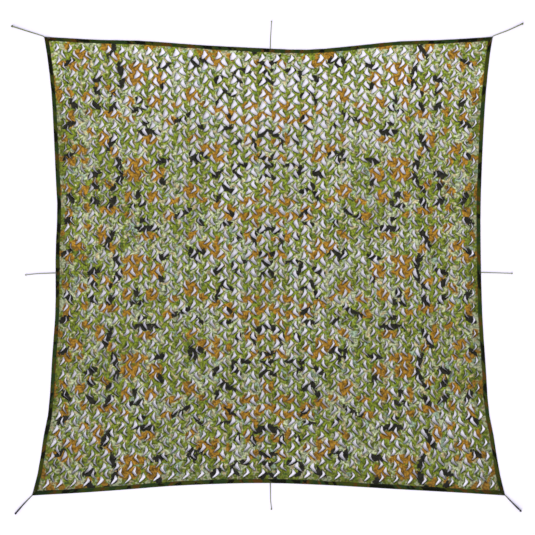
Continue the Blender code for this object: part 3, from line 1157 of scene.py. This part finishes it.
# %% Ramps and ripples
def ramp(value, low, high):
    """From 0 at low to 1 at high, with soft ends."""
    t = np.clip((value - low) / (high - low), 0, 1)
    return t * t * (3 - 2 * t)


def ripples(x, y, length, seed):
    """A smooth uneven field between about -1 and 1, with waves of one length in metres."""
    draw = np.random.default_rng(seed)
    total = np.zeros_like(x)
    waves = 7
    for _ in range(waves):
        heading, phase = draw.uniform(0, math.tau, 2)
        pace = math.tau / length * draw.uniform(0.7, 1.4)
        total += np.sin(pace * (x * math.cos(heading) + y * math.sin(heading)) + phase)
    return total / math.sqrt(waves * 2)


print("ramp and ripples are ready")

# %% How far the slits open
def openness(x, y):
    """How far the slits open at places on the net, from 0 as cut to 1 wide open.

    The ramps run between two heights, or two distances from the middle line, in metres.
    """
    side = np.abs(x)
    top = AT_THE_TOP * ramp(y, 0.45, 1.25) * (1 - LESS_AT_TOP_CORNERS * ramp(side, 0.65, 1.30))
    opened = HANGING + top
    for pull in PULLS:
        beside = ((side - pull.side) / pull.side_reach) ** 2
        above = ((y - pull.height) / pull.height_reach) ** 2
        opened = opened + pull.much * np.exp(-beside - above)
    opened += ALONG_THE_MIDDLE * np.exp(-((side / MIDDLE_REACH) ** 2)) * (1 - ramp(y, 0.80, 1.20))
    opened -= AT_THE_EDGE * ramp(side, 1.05, 1.30) * ramp(y, -1.10, -0.80)
    opened += UNEVENLY * ripples(x, y, UNEVEN_LENGTH, seed=5)
    return np.clip(opened * ALL_IN_ALL, 0.0, WIDEST)


print(f"the middle of the net opens {openness(np.zeros(1), np.zeros(1))[0]:.2f} of the way")

# %% Stretch the cloth
FLANK_PINCH = 0.065  # how much narrower the columns are at the flanks, and wider in the middle
LEAF_SEED = 11
LEAF_VARIETY = 0.38  # how unlike its neighbours a leaf opens
STRAY = 0.004  # how far the cloth wanders in its own plane
STRAY_LENGTH = 0.08
HELD_AND_FREE = (0.02, 0.85)  # cells from the edge where the tape still holds the cloth, or not

field_lines = inset_lines(FIELD_INSET)


def field_place(across, up):
    """Places on the net for shares across and up the leaf-cut field."""
    across = across - FLANK_PINCH / math.tau * np.sin(math.tau * across)
    bottom, right, top, left = field_lines
    u, v = across[:, None], up[:, None]
    rows = on_line(bottom, across) * (1 - v) + on_line(top, 1 - across) * v
    columns = on_line(left, 1 - up) * (1 - u) + on_line(right, up) * u
    near_ends = bottom[0] * (1 - u) * (1 - v) + bottom[-1] * u * (1 - v)
    return rows + columns - (near_ends + top[0] * u * v + top[-1] * (1 - u) * v)


leaves = link_mesh("leaves", bpy.data.meshes.new("leaves"))
cut_values = {"Columns": COLUMNS, "Rows": ROWS, "Right leaf": right_leaf, "Left leaf": left_leaf,
              "Seed": LEAF_SEED, "Material": cloth_material}
grown(leaves, cut_graph, cut_values)
cells = np.array([COLUMNS, ROWS])
closed = read(leaves.data, "position", 3)[:, :2] / cells + 0.5
moves = read(leaves.data, "opening", 3)[:, :2] / cells
middles_of_leaves = read(leaves.data, "middle", 3)[:, :2] / cells + 0.5
chance = read(leaves.data, "chance", 1)[:, 0]
lift = read(leaves.data, "lift", 1)[:, 0]
lip = read(leaves.data, "lip", 1)[:, 0]

leaf_places = field_place(*middles_of_leaves.T)
opened = np.clip(openness(*leaf_places.T) + LEAF_VARIETY * (chance - 0.5), 0.0, WIDEST)
spread = closed + moves * opened[:, None]
flat = field_place(*closed.T)
place = field_place(*spread.T)
from_edge = np.minimum(closed, 1 - closed).min(axis=1) * COLUMNS
free = ramp(from_edge, *HELD_AND_FREE)
for axis in (0, 1):
    place[:, axis] += STRAY * free * ripples(*flat.T, STRAY_LENGTH, seed=70 + axis)
print(f"{len(place)} points, {np.mean(opened[lip > 0]):.2f} of the way open on average")

# %% [markdown]
# ## Lifting the leaves
#
# Seen close up, a stretched leaf cut is a relief: each leaf's tip stands highest, the far
# side of its gap stays low, and the cloth as a whole rises and falls a little on the floor.
# All of it dies away towards the tape, which holds the cloth level.

# %% Height of the cloth
LEAF_LIFT = 0.018
LIFT_WHEN_CLOSED = 0.35  # share of the lift that a closed leaf keeps
RESTLESS = 0.35  # how unlike its neighbours a leaf lifts
CLOTH_LEVEL = 0.0016  # underside of the cloth inside the binding
FIELD_LEVEL = 0.005  # and of the low sides of the gaps, where it swells least
SWELL = 0.006
SWELL_LENGTH = 0.7
JITTER = 0.0015
JITTER_LENGTH = 0.06
TAUT_AT_THE_TOP = 0.45  # how much lower the cloth lies where it has been pulled widest
TAUT_WHERE = (0.60, 1.30)  # heights on the net, from not taut to fully taut
LOWEST = 0.0004

restless = 1 + RESTLESS * (chance - 0.5) * 2
tall = LEAF_LIFT * (LIFT_WHEN_CLOSED + (1 - LIFT_WHEN_CLOSED) * opened) * restless
wave = 0.5 + 0.5 * np.clip(ripples(*place.T, SWELL_LENGTH, seed=21), -1, 1)
jitter = JITTER * ripples(*place.T, JITTER_LENGTH, seed=33)
taut = 1 - TAUT_AT_THE_TOP * ramp(place[:, 1], *TAUT_WHERE)
rise = (FIELD_LEVEL + SWELL * wave + tall * lift) * taut + jitter
height = np.maximum(CLOTH_LEVEL * (1 - free) + free * rise, LOWEST)
print(f"the cloth reaches {height.max() * 1000:.1f} mm above the floor")

# %% [markdown]
# ### The rim and the thickness
#
# The outermost leaves end in a zigzag. A ring of plain cloth joins that zigzag to a line just
# under the tape's inner edge, and from there a level strip runs to the raw edge inside the
# fold. A Solidify modifier gives the whole sheet its thickness, with the sealed lips as its
# rim.

# %% Find the zigzag
def outer_chain(data, lip_marks):
    """The leaves' zigzag border, in order. Edges between two lips belong to the gaps."""
    uses = {}
    for face in data.polygons:
        for edge in face.edge_keys:
            uses[edge] = uses.get(edge, 0) + 1
    beside = {}
    for (a, b), count in uses.items():
        if count == 1 and not (lip_marks[a] and lip_marks[b]):
            beside.setdefault(a, []).append(b)
            beside.setdefault(b, []).append(a)
    start = next(iter(beside))
    chain = [start, beside[start][0]]
    while chain[-1] != start:
        before, here = chain[-2:]
        chain.append(next(k for k in beside[here] if k != before))
    return chain[:-1]


chain = outer_chain(leaves.data, lip)
here, after = place[chain], np.roll(place[chain], -1, axis=0)
if np.sum(here[:, 0] * after[:, 1] - after[:, 0] * here[:, 1]) < 0:
    chain = chain[::-1]
print(len(chain), "points in the zigzag")

# %% Join the rim
RIM_STEPS = 60
RING_NEARNESS = 1e-7


def with_rim(values, at_rim):
    """Numbers for the leaves' points, then the same number for every point of the rim."""
    return np.concatenate([values, np.full(len(rim), at_rim)])


shares = np.arange(RIM_STEPS) / RIM_STEPS
tuck = np.concatenate([on_line(line, shares) for line in inset_lines(TUCK_INSET)])
raw_edge = np.concatenate([on_line(line, shares) for line in inset_lines(CLOTH_INSET)])
rim = np.concatenate([tuck, raw_edge])
around = len(tuck)
ring = [Vector(spot) for spot in (*tuck, *place[chain])]
ring_faces = fill_between(ring, list(range(around)), list(range(around, len(ring))), RING_NEARNESS)

count = len(place)
numbers = [count + k for k in range(around)] + list(chain)
faces = [tuple(face.vertices) for face in leaves.data.polygons]
faces += [tuple(numbers[k] for k in face) for face in ring_faces]
for k in range(around):
    here, after = count + k, count + (k + 1) % around
    faces.append((here + around, after + around, after, here))
all_places = np.concatenate([place, rim])
net_mesh = bpy.data.meshes.new("leaf_cut_net")
net_mesh.from_pydata(np.column_stack([all_places, with_rim(height, CLOTH_LEVEL)]).tolist(), [], faces)
net_mesh.materials.append(cloth_material)
net_mesh.materials.append(lip_material)
net_mesh.shade_smooth()
cloth_area = sum(face.area for face in net_mesh.polygons)
print(f"{len(net_mesh.polygons)} faces before the thickness, {cloth_area:.2f} square metres of cloth")

# %% What the finish reads from the cloth
# Masks of painted shade: the cloth by the tape and round the near corners, where it gathers in folds, and
# towards the bottom of the net.
CORNER_SHADE_REACH = 0.22  # how far from a near corner the cloth is drawn together by its tie
CORNER_SHADE_DEPTH = 0.9
HELD_LIFT = 0.45  # what the finish takes for the lift of cloth that is held level
TAPE_REACH = (0.1, 1.1)  # cells from the edge, from gathered by the tape to free of it
SMOOTH_WHERE = (0.95, 1.30)  # heights on the net, from gathered to pulled smooth
# Painted shade towards the bottom of the net, over this range of heights.
BOTTOM_SHADE_WHERE = (-1.0, 1.4)  # metres down from the middle of the net, from no slack to most

by_the_tape = (1 - ramp(from_edge, *TAPE_REACH)) * (1 - ramp(place[:, 1], *SMOOTH_WHERE))
# Painted shade, strongest under the tape and at the two near corners.
gathered = with_rim(by_the_tape, 1.0)
for near_corner in fold_lines[0][[0, -1]]:
    away = np.linalg.norm(all_places - near_corner, axis=1)
    gathered = np.maximum(gathered, CORNER_SHADE_DEPTH * np.exp(-((away / CORNER_SHADE_REACH) ** 2)))
all_flat = np.concatenate([flat, rim])
kept = {
    "lip": with_rim(lip, 0.0),
    "gathered": gathered,
    "slack": ramp(-all_places[:, 1], *BOTTOM_SHADE_WHERE),
    "raised": with_rim(HELD_LIFT + (lift - HELD_LIFT) * free, HELD_LIFT),
    "chance": with_rim(chance, 0.5),
    "tan_print": patch_field(TAN_PATCHES, all_flat),
    "black_print": patch_field(BLACK_PATCHES, all_flat),
}
for name, values in kept.items():
    write(net_mesh, name, values)
write_flat(net_mesh, "flat", all_flat)
print("the cloth keeps", ", ".join(kept))

# %% Thickness
CLOTH_THICK = 0.0006

net = link_mesh("leaf_cut_net", net_mesh)
for helper in (leaves, right_leaf, left_leaf):
    bpy.data.objects.remove(helper)
thicken = net.modifiers.new("thickness", "SOLIDIFY")
thicken.thickness = CLOTH_THICK
thicken.offset = 1.0
thicken.material_offset_rim = 1
print(f"the cloth is {CLOTH_THICK * 1000:.1f} mm thick")

# %% [markdown]
# ## The binding
#
# The tape is folded over the raw edge and held by one row of lockstitch, which gathers it
# slightly: its top face puckers between stitches and its inner edge wanders. Each side is
# swept from a section that runs from the inner edge of the lower layer, round the fold, to
# the inner edge of the upper layer and back on the inside, so the strip is one closed skin.

# %% How the tape puckers
SIDE_RUN = 3.0  # metres of tape along a side, for the lengths of its waves
PUCKER = 0.0007
GATHER_LENGTH = 0.032
GATHERS_ACROSS = 20  # how much faster they change across the tape than along it
BILLOW_LENGTH = 0.11
BILLOWS_ACROSS = 6
WANDER = 0.0016
WANDER_LENGTH = 0.21
HELD_BY_FOLD = 0.02  # distance from the fold at which the tape is free to pucker and stray
CORD_SWELL = 0.0036  # how much the tape rises over a corner cord
CORD_SWELL_REACH = 0.030

Fold = namedtuple("Fold", "inset height upper")
TAPE_SECTION = (
    Fold(0.0260, 0.0002, 0), Fold(0.0150, 0.0002, 0), Fold(0.0040, 0.0002, 0), Fold(0.0012, 0.0006, 0),
    Fold(0.0000, 0.0019, 0.5), Fold(0.0010, 0.0034, 1), Fold(0.0040, 0.0040, 1), Fold(0.0095, 0.0038, 1),
    Fold(0.0150, 0.0036, 1), Fold(0.0205, 0.0033, 1), Fold(0.0250, 0.0034, 1), Fold(0.0262, 0.0031, 1),
    Fold(0.0255, 0.0028, 1), Fold(0.0150, 0.0029, 1), Fold(0.0045, 0.0032, 1), Fold(0.0022, 0.0019, 0.5),
    Fold(0.0045, 0.0010, 0), Fold(0.0150, 0.0008, 0), Fold(0.0255, 0.0007, 0),
)


def tape_lift(side, share, inset):
    """How much higher than its section the tape's upper layer stands at shares along a side."""
    run = share * SIDE_RUN
    gathers = ripples(run, run * 0 + inset * GATHERS_ACROSS, GATHER_LENGTH, seed=40 + side)
    gathers = gathers * PUCKER * ramp(inset, 0.0, HELD_BY_FOLD)
    billow = ripples(run, run * 0 + inset * BILLOWS_ACROSS, BILLOW_LENGTH, seed=50 + side) * PUCKER
    to_corner = np.minimum(share, 1 - share) * SIDE_RUN
    return gathers + billow + CORD_SWELL * np.exp(-((to_corner / CORD_SWELL_REACH) ** 2))


def tape_wander(side, share, inset):
    """How far the tape strays inwards, most at its inner edge."""
    run = share * SIDE_RUN
    strays = ripples(run, run * 0, WANDER_LENGTH, seed=60 + side)
    return strays * WANDER * ramp(np.full_like(run, inset), 0.0, HELD_BY_FOLD)


print(len(TAPE_SECTION), "corners in the tape's section")

# %% The tape's skin
TAPE_STEPS = 220
TAPE_LOWEST = 0.0001
STRAIGHT_END = 0.02  # share of a side at each end in which the tape comes back to its line


def tape_points(side, shares):
    """The tape's skin as rows of points, one row for each corner of its section."""
    rows = []
    for fold in TAPE_SECTION:
        line = inset_lines(fold.inset)[side]
        edge = on_line(line, shares)
        ahead = np.gradient(edge, axis=0)
        inwards = np.stack([-ahead[:, 1], ahead[:, 0]], axis=1) / np.linalg.norm(ahead, axis=1)[:, None]
        ends = ramp(np.minimum(shares, 1 - shares), 0.0, STRAIGHT_END)
        edge = edge + inwards * (tape_wander(side, shares, fold.inset) * ends)[:, None]
        level = fold.height + fold.upper * tape_lift(side, shares, fold.inset)
        rows.append(np.column_stack([edge, np.maximum(level, TAPE_LOWEST)]))
    return np.stack(rows)


def tube_faces(corners, stations):
    """Faces of a skin whose rows close round a section, with a cap at both ends."""
    skin = []
    for i in range(corners):
        a, b = (i - 1) % corners * stations, i * stations
        skin += [(a + k, a + k + 1, b + k + 1, b + k) for k in range(stations - 1)]
    near_cap = tuple(i * stations for i in range(corners))
    far_cap = tuple((i + 1) * stations - 1 for i in reversed(range(corners)))
    return [*skin, near_cap, far_cap]


def face_outwards(data):
    bm = bmesh.new()
    bm.from_mesh(data)
    bmesh.ops.recalc_face_normals(bm, faces=bm.faces)
    bm.to_mesh(data)
    bm.free()


print(len(tube_faces(len(TAPE_SECTION), TAPE_STEPS + 1)), "faces in one tape")

# %% Sweep the tape
# How far from a corner the painted shade of the bunched tape reaches.
TAPE_SHADE_REACH = 0.12
LENGTH_APART = 4.0  # metres of print between one side's tape and the next
LAYERS_APART = 0.06  # and between the upper layer and the lower

tapes = []
shares = np.linspace(0, 1, TAPE_STEPS + 1)
run = np.tile(shares * SIDE_RUN, len(TAPE_SECTION))
layers = [fold.inset + LAYERS_APART * (fold.upper < 0.5) for fold in TAPE_SECTION]
to_corner = np.minimum(run, SIDE_RUN - run)
for side, side_name in enumerate(SIDES):
    data = bpy.data.meshes.new(f"tape_{side_name}")
    points = tape_points(side, shares).reshape(-1, 3).tolist()
    data.from_pydata(points, [], tube_faces(len(TAPE_SECTION), len(shares)))
    face_outwards(data)
    data.shade_smooth()
    lengthwise = run + LENGTH_APART * side
    write_flat(data, "tape", np.column_stack([lengthwise, np.repeat(layers, len(shares))]))
    write(data, "bunched", np.exp(-((to_corner / TAPE_SHADE_REACH) ** 2)))
    tapes.append(link_mesh(f"tape_{side_name}", data))
print("tapes:", sum(len(tape.data.polygons) for tape in tapes), "faces")

# %% [markdown]
# ### The tape's finish
#
# The tape is cut from a darker run of the same kind of print: deep green, moss, brown and
# black lengths follow one another. It is a twill, so its weave runs slantwise, and the fold is
# rubbed lighter where the net has been dragged over the ground. Towards the corners the tape
# is painted darker, as painted shade in its bunched folds.

# %% Tape material
TAPE_GREEN = (0.012, 0.028, 0.006, 1.0)
TAPE_MOSS = (0.030, 0.038, 0.003, 1.0)
TAPE_BROWN = (0.060, 0.028, 0.003, 1.0)
TAPE_BLACK = (0.003, 0.004, 0.001, 1.0)
TAPE_DUST = (0.20, 0.21, 0.15, 1.0)
MOSS_LENGTHS = (9.0, 2.0, 0.5)
DARK_LENGTHS = (13.0, 2.0, 0.5)
DUST = (90.0, 4.0, 0.7)
MOSS_WHERE = (0.46, 0.52)  # values of the noises, as on the cloth
BROWN_WHERE = (0.56, 0.60)
BLACK_WHERE = (0.54, 0.58)
TWILL_PER_METRE = 700.0
TWILL_DEPTH = 0.0005
RUBBED_WIDTH = 0.004
RUBBED_LIGHTER = 0.35
# Painted shade of the bunched tape at the corners.
SHADE_WHERE_BUNCHED = 0.5


def draw_tape(graph):
    place = unrolled(graph, "tape")
    moss = noise(place, *MOSS_LENGTHS)
    dark = split(noise(place, *DARK_LENGTHS).other("Color"))
    colour = colours(ease(moss, *MOSS_WHERE), TAPE_GREEN, TAPE_MOSS)
    colour = colours(ease(dark, *BROWN_WHERE), colour, TAPE_BROWN)
    colour = colours(ease(dark.other("Y"), *BLACK_WHERE), colour, TAPE_BLACK)
    along = split(place)
    slant = (along + along.other("Y")) * (TWILL_PER_METRE * math.tau)
    twill = graph.math("SINE", slant) * 0.5 + 0.5
    dust = noise(place, *DUST)
    rubbed = (1 - ease(along.other("Y"), 0.0, RUBBED_WIDTH)) * dust
    colour = colours(rubbed * RUBBED_LIGHTER, colour, TAPE_DUST)
    # dust tones, times painted shade at the corners
    dust_and_shade = (0.75 + dust * 0.5) * (1 - field(graph, "bunched") * SHADE_WHERE_BUNCHED)
    return {
        "Base Color": scaled(colour, dust_and_shade),
        "Roughness": 0.7 + twill * 0.15,
        "Normal": relief(twill * 0.5 + dust * 0.5, strength=0.3, depth=TWILL_DEPTH),
    }


tape_material = cloth_shader("binding_tape", draw_tape, sheen=0.0, shine=0.06)
for tape in tapes:
    tape.data.materials.append(tape_material)
print("tape material:", len(tape_material.node_tree.nodes), "nodes")

# %% [markdown]
# ### Lockstitch, by Geometry Nodes
#
# A lockstitch shows as a row of short rounded dashes, each one diving into the cloth at both
# ends. The tree sets one small stitch at even steps along a line and turns it to the line,
# with a little random skew. Each line follows the tape's own upper face, puckers included.

# %% The stitch tree
STITCH_LENGTH = 0.0046
STITCH_PITCH = 0.0056
THREAD_RADIUS = 0.0006
STITCH_INSET = 0.0222
STITCH_BOW = 0.0004  # how far the middle of a stitch stands above its ends
STITCH_SINK = 0.0003

stitch_inputs = {"Stitch": bpy.types.Object, "Pitch": float, "Skew": float, "Seed": int,
                 "Material": bpy.types.Material}
stitch_graph, stitching = new_tree("lockstitch", stitch_inputs)
add = stitch_graph.add
seam_line = add("GeometryNodeMeshToCurve", {"Mesh": stitching["Geometry"]})
spacing = {"Curve": seam_line, "Length": stitching["Pitch"]}
needle = add("GeometryNodeCurveToPoints", spacing, mode="LENGTH")
heading = add("FunctionNodeAlignRotationToVector", {"Vector": needle.other("Tangent")}, axis="X")
skew_range = {2: stitching["Skew"] * -1, 3: stitching["Skew"], "Seed": stitching["Seed"]}
skew = add("FunctionNodeRandomValue", skew_range, 1, data_type="FLOAT")
turn = add("FunctionNodeEulerToRotation", {0: add("ShaderNodeCombineXYZ", {"Z": skew})})
turning = {"Rotation": heading, "Rotate By": turn}
facing = add("FunctionNodeRotateRotation", turning, rotation_space="LOCAL")
dash = add("GeometryNodeObjectInfo", {"Object": stitching["Stitch"]}, out="Geometry")
sewn = add("GeometryNodeInstanceOnPoints", {"Points": needle, "Instance": dash, "Rotation": facing})
end_tree(stitch_graph, sewn, stitching["Material"])


def stitch_mesh():
    """One dash of thread along X: a bent six-sided spindle with closed ends."""
    data = bpy.data.meshes.new("stitch")
    bm = bmesh.new()
    bmesh.ops.create_uvsphere(bm, u_segments=6, v_segments=5, radius=1.0)
    for vert in bm.verts:
        x, y, z = vert.co.z, vert.co.y, -vert.co.x
        dive = (1 - x * x) * STITCH_BOW - STITCH_SINK
        vert.co = (x * STITCH_LENGTH / 2, y * THREAD_RADIUS, z * THREAD_RADIUS + dive)
    bm.to_mesh(data)
    bm.free()
    return data


stitch = bpy.data.objects.new("stitch", stitch_mesh())
print("one stitch:", len(stitch.data.polygons), "faces")

# %% [markdown]
# ### Sewing the tape and the ties
#
# One row of stitches follows each strip's inner edge. A bar tack, a tight zigzag worked back
# and forth, holds each tie: across the cord at a corner, and along the fold at mid-side.

# %% Thread
THREAD_DARK = (0.020, 0.026, 0.012, 1.0)
THREAD_LIGHT = (0.085, 0.090, 0.050, 1.0)
PLIES = (1400.0, 2.0)
PLY_DEPTH = 0.0003


def thread_look(graph):
    place = graph.add("ShaderNodeTexCoord", out="Object")
    plies = noise(place, *PLIES)
    colour = colours(plies, THREAD_DARK, THREAD_LIGHT)
    bump = relief(plies, strength=0.3, depth=PLY_DEPTH)
    return {"Base Color": colour, "Roughness": 0.55, "Normal": bump}


thread_material = cloth_shader("sewing_thread", thread_look, sheen=0.0, shine=0.3)
print("thread material:", len(thread_material.node_tree.nodes), "nodes")

# %% Sew the seams
STITCH_SKEW = 0.07  # radians either way
STITCH_SEAT = 0.4  # thread radii from the tape up to the middle of a stitch
SEAM_SHARES = np.linspace(0.012, 0.988, 600)


def tape_top(side, share, inset):
    """Places on the upper face of a strip, at shares along it and one inset."""
    share = np.atleast_1d(np.asarray(share, float))
    edge = on_line(inset_lines(inset)[side], share)
    top_face = TAPE_SECTION[5:11]
    level = np.interp(inset, [fold.inset for fold in top_face], [fold.height for fold in top_face])
    level = level + tape_lift(side, share, inset)
    return np.column_stack([edge, level + THREAD_RADIUS * STITCH_SEAT])


def sew(name, points, pitch, seed):
    """A row of stitches through these points."""
    seam = link_mesh(name, line_mesh(name, [tuple(point) for point in points]))
    values = {"Stitch": stitch, "Pitch": pitch, "Skew": STITCH_SKEW, "Seed": seed,
              "Material": thread_material}
    return grown(seam, stitch_graph, values)


seams = []
for side, side_name in enumerate(SIDES):
    points = tape_top(side, SEAM_SHARES, STITCH_INSET)
    seams.append(sew(f"seam_{side_name}", points, STITCH_PITCH, seed=side))
print("seams:", sum(len(seam.data.polygons) for seam in seams), "faces")

# %% Bar tacks
TACK_WIDTH = 0.016
TACK_DEPTH = 0.010
TACK_PASSES = 9
TACK_PITCH = 0.0048
TACK_INSET = 0.003
TACK_SEED = 20
CORNER_TACK = 0.994  # share of a side at which a corner's tie is tacked
TACK_END = 0.9985  # and the share that no stitch may pass

tacks = []
for tie in TIES:
    middle = CORNER_TACK
    if tie.along is not AT_CORNER:
        own = own_line(tie.side)
        middle = (tie.along - own[0].x) / (own[-1].x - own[0].x)
    zigzag = []
    for k in range(TACK_PASSES + 1):
        share = middle + (k / TACK_PASSES - 0.5) * TACK_WIDTH / SIDE_RUN
        inset = TACK_INSET + (TACK_DEPTH if k % 2 else 0.0)
        zigzag.append(tape_top(tie.side, min(share, TACK_END), inset)[0])
    tacks.append(sew(f"tack_{tie.name}", zigzag, TACK_PITCH, seed=TACK_SEED))
bpy.data.objects.remove(stitch)
print("tacks:", len(tacks))

# %% [markdown]
# ## Handing over
#
# Each drawn piece rides on the net's one body and stands for the solids that it covers.
# Before its slits were opened, the panel was a plain cut of cloth with the same area.

for piece in (net, *tapes, *seams, *tacks, *drawn_cords.values(), *knots.values()):
    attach(piece, "root")
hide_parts("net_panel")
for tape, side_name in zip(tapes, SIDES):
    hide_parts(f"binding_{side_name}")
for tie in TIES:
    way = laid_ways[tie.name]
    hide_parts(f"tie_{tie.name}")
    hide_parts(f"knot_{tie.name}")
    2 * cord_radius(tie)
print("riding:", 1 + len(tapes) + len(seams) + len(tacks) + 2 * len(TIES), "pieces")

# %% Sizes, and the end
visual_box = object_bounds()
for grows, axis in zip((visual_box[1] - visual_box[0]) - (cad_box[1] - cad_box[0]), "XYZ"):
    print(f"along {axis} the finished net differs by {grows * 1000:.1f} mm")
